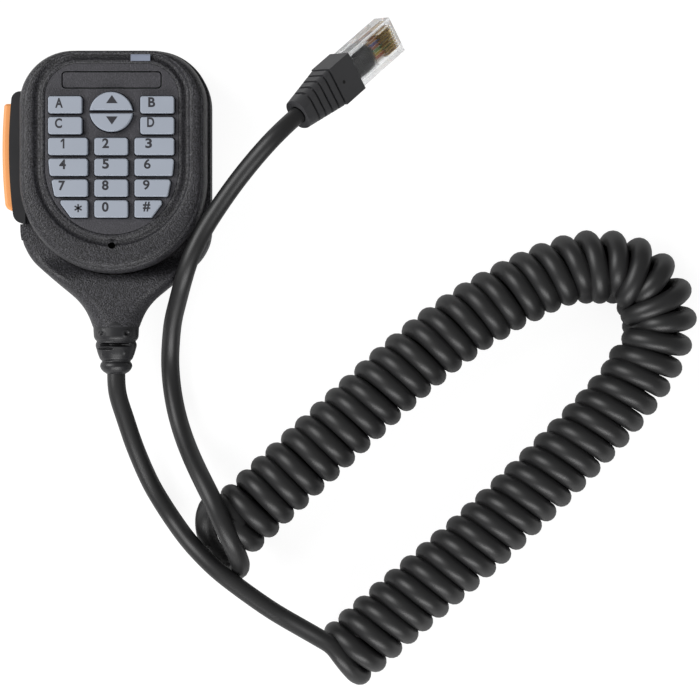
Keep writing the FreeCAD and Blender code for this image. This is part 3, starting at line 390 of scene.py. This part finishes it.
row_pitch = 0.00615
first_row = 0.0164
key_half_height = 0.00255
key_gap = 0.00028
key_radius = 0.0008
key_inner = 0.0069
key_outer = 0.0186
top_row_inner = 0.0086
side_key_tops = (key_outer, key_outer, key_outer, key_outer, 0.0177)
side_key_lows = (key_outer, key_outer, key_outer, 0.0181, 0.0167)
corner_key_low, corner_key_outer, corner_key_step, corner_key_radius = 0.01195, 0.01495, 0.0014, 0.0005
middle_key_half_width = 0.00495
arrow_key_middle, arrow_key_split = 0.014325, 0.000475
arrow_key_half_width, arrow_key_height = 0.00635, 0.0054
key_lines = {}


def rectangle(half, low, high):
    """Corners of a rectangle, half to each side of the middle line."""
    return [(half, low), (half, high), (-half, high), (-half, low)]


for side, names in ((-1, ("a", "c", "1", "4", "7")), (1, ("b", "d", "3", "6", "9"))):
    for row, (name, top_x, low_x) in enumerate(zip(names, side_key_tops, side_key_lows)):
        y = first_row - row_pitch * row
        inner = side * ((top_row_inner if row < 2 else key_inner) - key_gap)
        low, high = y - key_half_height - key_gap, y + key_half_height + key_gap
        key_lines[name] = rounded_polygon([(inner, low), (side * (low_x + key_gap), low),
                                           (side * (top_x + key_gap), high), (inner, high)],
                                          key_radius + key_gap)
y = first_row - row_pitch * 5
for side, name in ((-1, "star"), (1, "hash")):
    low, high = y - key_half_height - key_gap, y + key_half_height + key_gap
    inner, outer = side * (key_inner - key_gap), side * (corner_key_outer + key_gap)
    key_lines[name] = rounded_polygon([(inner, low), (side * (corner_key_low + 0.5 * key_gap), low),
                                       (outer, y + corner_key_step), (outer, high), (inner, high)],
                                      corner_key_radius + key_gap)
for row, name in ((2, "2"), (3, "5"), (4, "8"), (5, "0")):
    y = first_row - row_pitch * row
    wide, tall = middle_key_half_width + key_gap, key_half_height + key_gap
    key_lines[name] = rounded_polygon(rectangle(wide, y - tall, y + tall), key_radius + key_gap)
for way, name in ((1, "up"), (-1, "down")):
    flat = arrow_key_middle + way * (arrow_key_split - key_gap)
    wide, tall = arrow_key_half_width + key_gap, arrow_key_height + 2 * key_gap
    radius = (wide ** 2 + tall ** 2) / (2 * tall)
    reach = math.asin(wide / radius)
    centre = flat + way * (tall - radius)
    key_lines[name] = [(radius * math.sin(a), centre + way * radius * math.cos(a))
                       for a in np.linspace(-reach, reach, 40)]
label_line = rounded_polygon(rectangle(0.0148, 0.02135, 0.0265), 0.0012)
label_edge = rounded_polygon(rectangle(0.0145, 0.02165, 0.0262), 0.0009)
panel_height = cover_face - 0.0003
panel_depth, label_depth, plate_bevel, label_sink = 0.0008, 0.0004, 0.00012, 0.0006
panel_lines = [panel_ring(0.0010, 0)] + [label_line] + list(key_lines.values())
panel = raised(flat_curve("cover_panel", panel_lines, panel_depth, plate_bevel), panel_height - panel_depth)
label = raised(flat_curve("label_plate", [label_edge], label_depth, plate_bevel), panel_height - label_sink)


def new_group(name, inputs, outputs):
    """Empty shader node group with its sockets, its input node and its output node."""
    group = bpy.data.node_groups.new(name, "ShaderNodeTree")
    for label_, kind, value in inputs:
        socket = group.interface.new_socket(label_, in_out="INPUT", socket_type="NodeSocket" + kind)
        if value is not None:
            socket.default_value = value
    for label_, kind in outputs:
        group.interface.new_socket(label_, in_out="OUTPUT", socket_type="NodeSocket" + kind)
    return group, group.nodes.new("NodeGroupInput"), group.nodes.new("NodeGroupOutput")


def spark_grain():
    """Group: the pebbled grain of a spark-eroded mould, as a tone and a normal."""
    group, start, end = new_group("spark_grain", [("Vector", "Vector", None), ("Size", "Float", 2200.0),
                                                  ("Depth", "Float", 0.6), ("Contrast", "Float", 0.3)],
                                  [("Tone", "Float"), ("Normal", "Vector")])
    pebbles = add(group, "TexVoronoi", feature="SMOOTH_F1")
    pebbles.inputs["Smoothness"].default_value = 0.6
    noise = add(group, "TexNoise")
    noise.inputs["Detail"].default_value = 3.0
    level = add(group, "Math", operation="ADD")
    bump = add(group, "Bump")
    bump.inputs["Distance"].default_value = 0.00012
    tone = add(group, "MapRange")
    tone.inputs["From Min"].default_value = 0.55
    tone.inputs["From Max"].default_value = 1.45
    high = add(group, "Math", operation="ADD", i0=1.0)
    low = add(group, "Math", operation="SUBTRACT", i0=1.0)
    link = group.links.new
    link(start.outputs["Vector"], pebbles.inputs["Vector"])
    link(start.outputs["Vector"], noise.inputs["Vector"])
    link(start.outputs["Size"], pebbles.inputs["Scale"])
    link(start.outputs["Size"], noise.inputs["Scale"])
    link(pebbles.outputs["Distance"], level.inputs[0])
    link(noise.outputs[0], level.inputs[1])
    link(level.outputs[0], bump.inputs["Height"])
    link(start.outputs["Depth"], bump.inputs["Strength"])
    link(start.outputs["Contrast"], high.inputs[1])
    link(start.outputs["Contrast"], low.inputs[1])
    link(level.outputs[0], tone.inputs["Value"])
    link(low.outputs[0], tone.inputs["To Min"])
    link(high.outputs[0], tone.inputs["To Max"])
    link(tone.outputs[0], end.inputs["Tone"])
    link(bump.outputs[0], end.inputs["Normal"])
    return group


spark_grain_group = spark_grain()


def grained(name, colour, roughness, size, depth, contrast):
    """Moulded plastic with the spark-eroded grain, its tone and gloss drifting a little over the part."""
    material, tree, surface = new_material(name)
    place = add(tree, "TexCoord")
    grain = add(tree, "Group")
    grain.node_tree = spark_grain_group
    grain.inputs["Size"].default_value = size
    grain.inputs["Depth"].default_value = depth
    grain.inputs["Contrast"].default_value = contrast
    drift = object_noise(tree, 60.0, detail=2.0)
    gloss = add(tree, "MapRange")
    gloss.inputs["To Min"].default_value = roughness - 0.06
    gloss.inputs["To Max"].default_value = roughness + 0.06
    shade = add(tree, "VectorMath", operation="SCALE")
    shade.inputs[0].default_value = colour
    link = tree.links.new
    link(place.outputs["Object"], grain.inputs["Vector"])
    link(grain.outputs["Tone"], shade.inputs["Scale"])
    link(shade.outputs[0], surface.inputs["Base Color"])
    link(drift.outputs[0], gloss.inputs["Value"])
    link(gloss.outputs[0], surface.inputs["Roughness"])
    link(grain.outputs["Normal"], surface.inputs["Normal"])
    return material


# The sound hole is not cut in the rim. A flat near-black disc without gloss lies just above the band in its
# place, as painted shade.
sound_hole_half_width, sound_hole_half_height = 0.0011, 0.00095
sound_hole_y, sound_hole_lift = -0.0251, 0.00012
sound_hole_shade_mesh = bpy.data.meshes.new("sound_hole")
ring_angles = np.linspace(0, 2 * math.pi, 33)[:-1]
sound_hole_ring = [(sound_hole_half_width * math.cos(a), sound_hole_y + sound_hole_half_height * math.sin(a),
                    cover_face + sound_hole_lift) for a in ring_angles]
sound_hole_shade_mesh.from_pydata(sound_hole_ring, [], [tuple(range(len(sound_hole_ring)))])
sound_hole = bpy.data.objects.new("sound_hole", sound_hole_shade_mesh)
bpy.context.scene.collection.objects.link(sound_hole)
painted_hole_shade = plain_finish("felt_in_the_dark", (0.001, 0.001, 0.001), 1.0)
painted_hole_shade.node_tree.nodes["Principled BSDF"].inputs["Specular IOR Level"].default_value = 0.0
sound_hole_shade_mesh.materials.append(painted_hole_shade)
coarse_black = grained("case_plastic_coarse", (0.0275, 0.027, 0.031), 0.44, 2300.0, 1.0, 1.3)
fine_black = grained("case_plastic_fine", (0.049, 0.0475, 0.055), 0.46, 2800.0, 0.5, 0.45)
cover_rim.data.materials.append(coarse_black)
panel.data.materials.append(fine_black)
label.data.materials.append(fine_black)
for piece in (cover_rim, panel, label, sound_hole):
    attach(piece, "case")
    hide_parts("front_cover")


# ---------------------------------------------------------------- strain relief
# Soft black rubber moulded round the cord's end and held in the neck of the case: a collar with two dimples,
# a slotted waist that lets it bend, and a rounded nose. All edges are soft.
relief_high_y = -0.0470
relief_low_y = -0.0632
relief_rows = 190
relief_columns = 128
relief_stations = [(-0.0470, 0.00690), (-0.0480, 0.00712), (-0.0487, 0.00708), (-0.0491, 0.00690),
                   (-0.0520, 0.00672), (-0.0528, 0.00640), (-0.0534, 0.00575), (-0.0540, 0.00615),
                   (-0.0548, 0.00618),
                   (-0.0572, 0.00550), (-0.0587, 0.00490), (-0.0594, 0.00415), (-0.0600, 0.00470),
                   (-0.0609, 0.00488), (-0.0618, 0.00450), (-0.0626, 0.00380), (-0.0632, 0.00270)]
relief_slot_y, relief_slot_depth = -0.0544, 0.0026
relief_slot_half_height, relief_slot_half_width = 0.00045, 0.0047
relief_side_slot_place, relief_side_slot_depth = (-0.0028, -0.0556), 0.0010
relief_dimple_places = [(-0.0039, -0.0510), (0.0037, -0.0510)]
relief_rib_places = [(-0.0037, -0.0574), (0.0031, -0.0568)]


def relief_points():
    """Grid of radius r(y, a) about the cord's line, with a = 0 on top.

    The stations give r(y). A lens-shaped slot on top and one below, a short side slot, two ringed dimples and
    two ribs are added to it as bell curves of x and y.
    """
    y = np.linspace(relief_high_y, relief_low_y, relief_rows)[:, None]
    a = np.linspace(0, 2 * math.pi, relief_columns + 1)[None, :-1]
    stations = np.array(relief_stations)[::-1]
    base = np.interp(y[:, 0], stations[:, 0], stations[:, 1])
    soft = np.convolve(np.pad(base, 3, mode="edge"), np.ones(7) / 7, mode="valid")[:, None]
    x = soft * np.sin(a)
    upper = np.cos(a) > 0
    slot_reach = np.clip(1.15 - (x / relief_slot_half_width) ** 4, 0, 1)
    slot = relief_slot_depth * np.exp(-((y - relief_slot_y) / relief_slot_half_height) ** 4) * slot_reach
    side_x, side_y = relief_side_slot_place
    side_reach = np.clip(1.1 - ((x - side_x) / 0.0025) ** 4, 0, 1)
    side_slot = relief_side_slot_depth * np.exp(-((y - side_y) / 0.00025) ** 2) * side_reach
    r = soft - slot - side_slot * upper
    for cx, cy in relief_dimple_places:
        d = np.sqrt((x - cx) ** 2 + (y - cy) ** 2)
        r -= upper * (0.0007 * np.exp(-(d / 0.0004) ** 2) - 0.0002 * np.exp(-((d - 0.00085) / 0.0003) ** 2))
    for cx, cy in relief_rib_places:
        r += upper * 0.00025 * np.exp(-((x - cx) / 0.0003) ** 2 - ((y - cy) / 0.0006) ** 2)
    arch = 0.0013 * (1 - np.clip(np.cos(a), 0, 1) ** 2)
    shift = -arch * np.clip((y + 0.0490) / 0.002, 0, 1)
    along = np.broadcast_to(y, r.shape) + shift
    return np.stack([r * np.sin(a), along, cord_exit[2] + r * np.cos(a)], axis=2)


grid = relief_points()
ends = [np.column_stack([ring[:, 0] * 0.85, ring[:, 1], cord_exit[2] + (ring[:, 2] - cord_exit[2]) * 0.85])
        for ring in (grid[0], grid[-1])]
relief = shell_between("strain_relief_rubber", [ends[0]] + list(grid) + [ends[1]])
relief.data.materials.append(plain_finish("relief_rubber", (0.016, 0.016, 0.018), 0.42, vary=0.25, bump=0.3))
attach(relief, "case")
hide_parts("strain_relief")


# ---------------------------------------------------------------- plug details
# The boot is slipped over an eight-way modular plug. A blind hole marks its wide face; it is not cut but
# drawn as a flat disc of painted shade. The mouth's edge catches the light where the clear body goes in.
plug_heading, plug_pitch, plug_roll = math.radians(44.5), math.radians(31.0), math.radians(30.0)
forward = np.array([math.cos(plug_pitch) * math.cos(plug_heading),
                    math.cos(plug_pitch) * math.sin(plug_heading), -math.sin(plug_pitch)])
level = np.array([math.sin(plug_heading), -math.cos(plug_heading), 0.0])
upward = np.cross(level, forward)
outward = upward * math.cos(plug_roll) + level * math.sin(plug_roll)
across = upward * math.sin(plug_roll) - level * math.cos(plug_roll)
plug_half_height, plug_half_width = 0.00325, 0.00584
plug_nose = np.array([0.0826, 0.0405, plug_half_height * outward[2] + plug_half_width * across[2]])
boot_hole_setback, boot_hole_height, boot_hole_radius = 0.02725, 0.00418, 0.00055
boot_hole_centre = plug_nose - forward * boot_hole_setback
boot_hole_ring = [tuple(boot_hole_centre + outward * boot_hole_height
                        + boot_hole_radius * (forward * math.cos(a) + across * math.sin(a)))
                  for a in ring_angles]
boot_hole_shade_mesh = bpy.data.meshes.new("boot_hole")
boot_hole_shade_mesh.from_pydata(boot_hole_ring, [], [tuple(range(len(boot_hole_ring)))])
boot_hole = bpy.data.objects.new("boot_hole", boot_hole_shade_mesh)
bpy.context.scene.collection.objects.link(boot_hole)
# Near-black disc: painted shade in place of the blind hole's depth.
boot_hole_shade_mesh.materials.append(plain_finish("boot_hole_dark", (0.003, 0.003, 0.003), 0.9))
boot_rubber = plain_finish("boot_rubber", (0.043, 0.043, 0.046), 0.48, bump=0.3)
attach(boot_hole, "case")


jacket_stations = [(0.0110, 0.0010, 0.0006), (0.0113, 0.0034, 0.0016), (0.0120, 0.0040, 0.0020),
                   (0.0135, 0.0041, 0.00215), (0.0170, 0.0041, 0.0022), (0.0205, 0.0039, 0.0022),
                   (0.0235, 0.0030, 0.0022), (0.0240, 0.0015, 0.0011)]
jacket_ragged_until, jacket_ragged = 0.0115, 0.0008


def plug_jacket_rings():
    """Rings of a squashed oval, |p/w|^4 + |q/t|^4 = 1, along the plug, from stations (back, w, t).

    The cut end is ragged: its rings wave along the plug as the sine of three times the angle.
    """
    rings = []
    a = np.linspace(0, 2 * math.pi, 65)[:-1]
    oval = 0.5
    for back, wide, tall in jacket_stations:
        p = wide * np.sign(np.cos(a)) * np.abs(np.cos(a)) ** oval
        q = tall * np.sign(np.sin(a)) * np.abs(np.sin(a)) ** oval
        wave = jacket_ragged * np.sin(3 * a)[:, None] * (back < jacket_ragged_until)
        centre = plug_nose - forward * (back + wave)
        rings.append(centre + p[:, None] * across + q[:, None] * outward)
    return rings


jacket = shell_between("plug_jacket_flattened", plug_jacket_rings())
jacket.data.materials.append(plain_finish("plug_jacket_pvc", (0.022, 0.022, 0.024), 0.35))
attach(jacket, "case")
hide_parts("plug_jacket")


wire_pitch = 0.00102


def banded_jackets():
    """Eight wire colours in steps across the plug, from the dot product of the place and that direction."""
    material, tree, surface = new_material("wire_jackets")
    place = add(tree, "TexCoord")
    dot = add(tree, "VectorMath", operation="DOT_PRODUCT")
    dot.inputs[1].default_value = tuple(across)
    span = add(tree, "MapRange")
    middle = float(boot_hole_centre @ across)
    span.inputs["From Min"].default_value = middle - 4 * wire_pitch
    span.inputs["From Max"].default_value = middle + 4 * wire_pitch
    ramp = add(tree, "ValToRGB")
    ramp.color_ramp.interpolation = "CONSTANT"
    colours = [(0.75, 0.72, 0.65), (0.60, 0.12, 0.03), (0.80, 0.62, 0.10), (0.08, 0.35, 0.10),
               (0.70, 0.20, 0.12), (0.05, 0.10, 0.40), (0.75, 0.30, 0.10), (0.30, 0.12, 0.06)]
    stops = ramp.color_ramp.elements
    while len(stops) < len(colours):
        stops.new(0.5)
    for i, colour in enumerate(colours):
        stops[i].position = i / len(colours)
        stops[i].color = colour + (1.0,)
    fine = object_noise(tree, 400.0)
    gloss = add(tree, "MapRange")
    gloss.inputs["To Min"].default_value = 0.3
    gloss.inputs["To Max"].default_value = 0.5
    link = tree.links.new
    link(place.outputs["Object"], dot.inputs[0])
    link(dot.outputs["Value"], span.inputs["Value"])
    link(span.outputs[0], ramp.inputs["Fac"])
    link(ramp.outputs["Color"], surface.inputs["Base Color"])
    link(fine.outputs[0], gloss.inputs["Value"])
    link(gloss.outputs[0], surface.inputs["Roughness"])
    return material


def clear_resin():
    """Clear polycarbonate: nearly open seen straight on, milky and glossy where its faces slant."""
    material, tree, surface = new_material("clear_plastic")
    surface.inputs["Base Color"].default_value = (0.93, 0.95, 0.96, 1.0)
    surface.inputs["Transmission Weight"].default_value = 1.0
    surface.inputs["IOR"].default_value = 1.5
    noise = object_noise(tree, 300.0)
    gloss = add(tree, "MapRange")
    gloss.inputs["To Min"].default_value = 0.01
    gloss.inputs["To Max"].default_value = 0.05
    open_part = add(tree, "BsdfTransparent")
    facing = add(tree, "LayerWeight")
    facing.inputs["Blend"].default_value = 0.35
    share = add(tree, "MapRange")
    share.inputs["To Min"].default_value = 0.45
    share.inputs["To Max"].default_value = 0.90
    mix = add(tree, "MixShader")
    link = tree.links.new
    link(noise.outputs[0], gloss.inputs["Value"])
    link(gloss.outputs[0], surface.inputs["Roughness"])
    link(facing.outputs["Facing"], share.inputs["Value"])
    link(share.outputs[0], mix.inputs[0])
    link(open_part.outputs[0], mix.inputs[1])
    link(surface.outputs[0], mix.inputs[2])
    link(mix.outputs[0], tree.nodes["Material Output"].inputs["Surface"])
    return material


# ---------------------------------------------------------------- key legends
# Each key is moulded in blue-grey ABS and pad printed in charcoal ink. The sixteen characters and the two
# arrows are generic; the small words beside them on such microphones differ by maker and are left off.
legend_places = {
    "a": ("A", -0.01535, 0.0169), "b": ("B", 0.0120, 0.0171),
    "c": ("C", -0.0155, 0.0109), "d": ("D", 0.0117, 0.0112),
    "1": ("1", -0.0143, 0.0049), "2": ("2", -0.0016, 0.0050), "3": ("3", 0.0111, 0.0050),
    "4": ("4", -0.0143, -0.0012), "5": ("5", -0.0016, -0.0011), "6": ("6", 0.0107, -0.0011),
    "7": ("7", -0.0145, -0.0075), "8": ("8", -0.0017, -0.0074), "9": ("9", 0.0104, -0.0073),
    "star": ("*", -0.0097, -0.01415), "0": ("0", -0.0017, -0.0138), "hash": ("#", 0.0105, -0.0137),
}
legend_height = 0.0029
legend_widths = {"A": 0.00226, "B": 0.00204, "C": 0.0021, "D": 0.0021, "#": 0.0022}
digit_width = 0.00196
asterisk_reach, asterisk_half_stroke = 0.0012, 0.00022
arrow_half_height = 0.0012
arrow_left, arrow_right, arrow_tip = -0.00145, 0.00195, 0.00025
key_top = 0.0295
ink_height = key_top + 0.00003
ink = plain_finish("legend_ink", (0.022, 0.022, 0.028), 0.6, bump=0.05)


def printed(name, character, x, y, z):
    """Character as a flat mesh, its box scaled to the legend's height and width and centred on (x, y)."""
    data = bpy.data.curves.new(name, "FONT")
    data.body = character
    data.size = 0.003
    data.offset = 0.00006 if character in "69" else 0.00009
    curve = bpy.data.objects.new(name, data)
    bpy.context.scene.collection.objects.link(curve)
    mesh = bpy.data.meshes.new_from_object(curve)
    bpy.data.objects.remove(curve)
    points = np.empty(len(mesh.vertices) * 3)
    mesh.vertices.foreach_get("co", points)
    points = points.reshape(-1, 3)
    low, high = points.min(axis=0), points.max(axis=0)
    points -= (low + high) / 2
    points[:, 0] *= legend_widths.get(character, digit_width) / (high[0] - low[0])
    points[:, 1] *= legend_height / (high[1] - low[1])
    points += (x, y, z)
    mesh.vertices.foreach_set("co", points.ravel())
    piece = bpy.data.objects.new(name, mesh)
    bpy.context.scene.collection.objects.link(piece)
    return piece


def inked(name, shapes, z):
    """Flat mesh of the shapes, each a closed line of corners."""
    points = [(x, y, z) for shape in shapes for x, y in shape]
    starts = np.cumsum([0] + [len(shape) for shape in shapes])
    mesh = bpy.data.meshes.new(name)
    mesh.from_pydata(points, [], [tuple(range(a, b)) for a, b in zip(starts[:-1], starts[1:])])
    piece = bpy.data.objects.new(name, mesh)
    bpy.context.scene.collection.objects.link(piece)
    return piece


def figure_one(x, y):
    """Stem of the figure one and the slanting flag at its head."""
    half, flag, stroke = legend_height / 2, 0.00055, 0.00048
    left, right = x + flag - stroke, x + flag
    return [[(left, y - half), (right, y - half), (right, y + half), (left, y + half)],
            [(x - flag, y + 0.22 * half), (left, y + 0.5 * half), (left, y + half),
             (x - flag, y + 0.56 * half)]]


def asterisk(x, y):
    """Six arms from the centre, one of them upright, each a bar of the stroke's width."""
    arms = []
    for turn in range(6):
        a = math.pi / 2 + turn * math.pi / 3
        u = np.array([math.cos(a), math.sin(a)])
        v = np.array([-math.sin(a), math.cos(a)]) * asterisk_half_stroke
        tip = u * asterisk_reach
        arms.append([(x + c[0], y + c[1]) for c in (-v, tip - v, tip + v, v)])
    return arms


for key, (character, x, y) in legend_places.items():
    if character == "1":
        piece = inked("legend_" + key, figure_one(x, y), ink_height)
    elif character == "*":
        piece = inked("legend_" + key, asterisk(x, y), ink_height)
    else:
        piece = printed("legend_" + key, character, x, y, ink_height)
    piece.data.materials.append(ink)
    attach(piece, "key_%s_body" % key)
for key, y, way in (("up", 0.0180, 1), ("down", 0.0117, -1)):
    mesh = bpy.data.meshes.new("legend_" + key)
    tip, base = y + way * arrow_half_height, y - way * arrow_half_height
    corners = [(arrow_left, base, ink_height), (arrow_right, base, ink_height), (arrow_tip, tip, ink_height)]
    mesh.from_pydata(corners, [], [(0, 1, 2) if way > 0 else (0, 2, 1)])
    piece = bpy.data.objects.new("legend_" + key, mesh)
    bpy.context.scene.collection.objects.link(piece)
    piece.data.materials.append(ink)
    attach(piece, "key_%s_body" % key)


# ---------------------------------------------------------------- talk bar's spring
# Steel wire wound cold, between a pocket in the orange bar and the seat in its frame. The bar presses it
# shorter;
# here it is a piece of its own, drawn at one length and attached to the case.
spring_low_x, spring_high_x = -0.0326, -0.0279
spring_middle = (0.0060, 0.0150)
spring_radius = 0.0016
spring_wire = 0.0002
spring_turns = 5
spring_turn_points = 24
spring_wire_sides = 8


def spring_rings():
    """Circles of the wire's radius round the helix (x(t), r cos a, r sin a), square to its run."""
    rings = []
    around = np.linspace(0, 2 * math.pi, spring_wire_sides + 1)[:-1]
    for share in np.linspace(0, 1, spring_turns * spring_turn_points + 1):
        a = 2 * math.pi * spring_turns * share
        out = np.array([0.0, math.cos(a), math.sin(a)])
        run = np.array([(spring_high_x - spring_low_x) / (2 * math.pi * spring_turns),
                        -spring_radius * math.sin(a), spring_radius * math.cos(a)])
        other = np.cross(out, run / np.linalg.norm(run))
        centre = np.array([spring_low_x + (spring_high_x - spring_low_x) * share, *spring_middle])
        centre = centre + spring_radius * out
        circle = np.outer(np.cos(around), out) + np.outer(np.sin(around), other)
        rings.append(centre + spring_wire * circle)
    return rings


spring = shell_between("ptt_spring_wire", spring_rings())
spring.data.materials.append(plain_finish("spring_steel", (0.55, 0.56, 0.58), 0.3, metallic=1.0))
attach(spring, "case")
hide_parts("ptt_spring")
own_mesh(spring)


# ---------------------------------------------------------------- finishes of the built parts
# The keys, the orange bar, the back shell, the plug and everything inside are moulded, stamped or drawn as
# built. Each gets the finish of its material: blue-grey and orange ABS, black rubber, steel, gilt contacts.
finishes = {
    "case_plastic": coarse_black,
    "key_plastic": plain_finish("key_plastic", (0.355, 0.39, 0.455), 0.5, vary=0.05),
    "mat_rubber": plain_finish("mat_rubber", (0.30, 0.31, 0.33), 0.6),
    "board_laminate": plain_finish("board_laminate", (0.02, 0.12, 0.05), 0.4),
    "chip_plastic": plain_finish("chip_plastic", (0.02, 0.02, 0.022), 0.5),
    "header_plastic": plain_finish("header_plastic", (0.6, 0.58, 0.5), 0.45),
    "lamp_plastic": plain_finish("lamp_plastic", (0.26, 0.29, 0.37), 0.25),
    "clear_plastic": clear_resin(),
    "boot_rubber": boot_rubber,
    "cord_jacket": plain_finish("cord_jacket_inside", (0.016, 0.016, 0.018), 0.42),
    "orange_plastic": plain_finish("orange_plastic", (0.93, 0.38, 0.125), 0.42, vary=0.04),
    "steel": plain_finish("steel", (0.55, 0.56, 0.58), 0.3, metallic=1.0),
    "brass": plain_finish("brass", (0.80, 0.58, 0.22), 0.25, metallic=1.0),
    "switch_plastic": plain_finish("switch_plastic", (0.03, 0.03, 0.03), 0.5),
    "wire_jackets": banded_jackets(),
    "capsule_metal": plain_finish("capsule_felt", (0.010, 0.010, 0.010), 0.9),
}
for node in nodes.values():
    for slot in node.material_slots:
        base = slot.material.name.split(".")[0]
        if base in finishes:
            slot.material = finishes[base]
frame_black = plain_finish("ptt_frame_black", (0.013, 0.013, 0.015), 0.40)
for slot in nodes["ptt_frame"].material_slots:
    slot.material = frame_black


# ---------------------------------------------------------------- table and light
# A matt white table under two large soft lamps, in a dim even room that the lens sees as white.
# The table glows a little where it is looked at, and keeps the soft shadows that lie on it.
floor_mesh = bpy.data.meshes.new("floor")
floor_mesh.from_pydata([(-3, -3, 0), (3, -3, 0), (3, 3, 0), (-3, 3, 0)], [], [(0, 1, 2, 3)])
floor = bpy.data.objects.new("floor", floor_mesh)
bpy.context.scene.collection.objects.link(floor)
floor_material, tree, surface = new_material("white_table")
surface.inputs["Base Color"].default_value = (0.86, 0.86, 0.86, 1.0)
surface.inputs["Roughness"].default_value = 0.9
path = add(tree, "LightPath")
glow = add(tree, "Emission", i1=1.2)
lifted = add(tree, "MixShader", i0=0.75)
mix = add(tree, "MixShader")
tree.links.new(surface.outputs[0], lifted.inputs[1])
tree.links.new(glow.outputs[0], lifted.inputs[2])
seen = add(tree, "Math", operation="MAXIMUM")
tree.links.new(path.outputs["Is Camera Ray"], seen.inputs[0])
tree.links.new(path.outputs["Is Transmission Ray"], seen.inputs[1])
tree.links.new(seen.outputs[0], mix.inputs[0])
tree.links.new(surface.outputs[0], mix.inputs[1])
tree.links.new(lifted.outputs[0], mix.inputs[2])
tree.links.new(mix.outputs[0], tree.nodes["Material Output"].inputs["Surface"])
floor_mesh.materials.append(floor_material)

world = bpy.data.worlds.new("room")
world.use_nodes = True
room = world.node_tree
room.nodes["Background"].inputs["Color"].default_value = (1, 1, 1, 1)
room.nodes["Background"].inputs["Strength"].default_value = 0.22
white = add(room, "Background", i1=1.0)
white.inputs[0].default_value = (1, 1, 1, 1)
room_path = add(room, "LightPath")
room_mix = add(room, "MixShader")
room.links.new(room_path.outputs["Is Camera Ray"], room_mix.inputs[0])
room.links.new(room.nodes["Background"].outputs[0], room_mix.inputs[1])
room.links.new(white.outputs[0], room_mix.inputs[2])
room.links.new(room_mix.outputs[0], room.nodes["World Output"].inputs["Surface"])
bpy.context.scene.world = world


def soft_lamp(name, place, aim, wide, tall, power):
    """Rectangular lamp at a place, turned to face a point."""
    data = bpy.data.lights.new(name, "AREA")
    data.shape = "RECTANGLE"
    data.size, data.size_y, data.energy = wide, tall, power
    lamp = bpy.data.objects.new(name, data)
    lamp.location = place
    lamp.rotation_euler = (Vector(aim) - Vector(place)).to_track_quat("-Z", "Y").to_euler()
    bpy.context.scene.collection.objects.link(lamp)


soft_lamp("left_lamp", (-0.75, 0.25, 0.75), (0.05, -0.05, 0.0), 0.7, 0.7, 9.0)
soft_lamp("front_lamp", (0.05, -0.95, 0.60), (0.05, -0.05, 0.0), 0.9, 0.4, 8.0)
bpy.context.scene.view_settings.view_transform = "Standard"
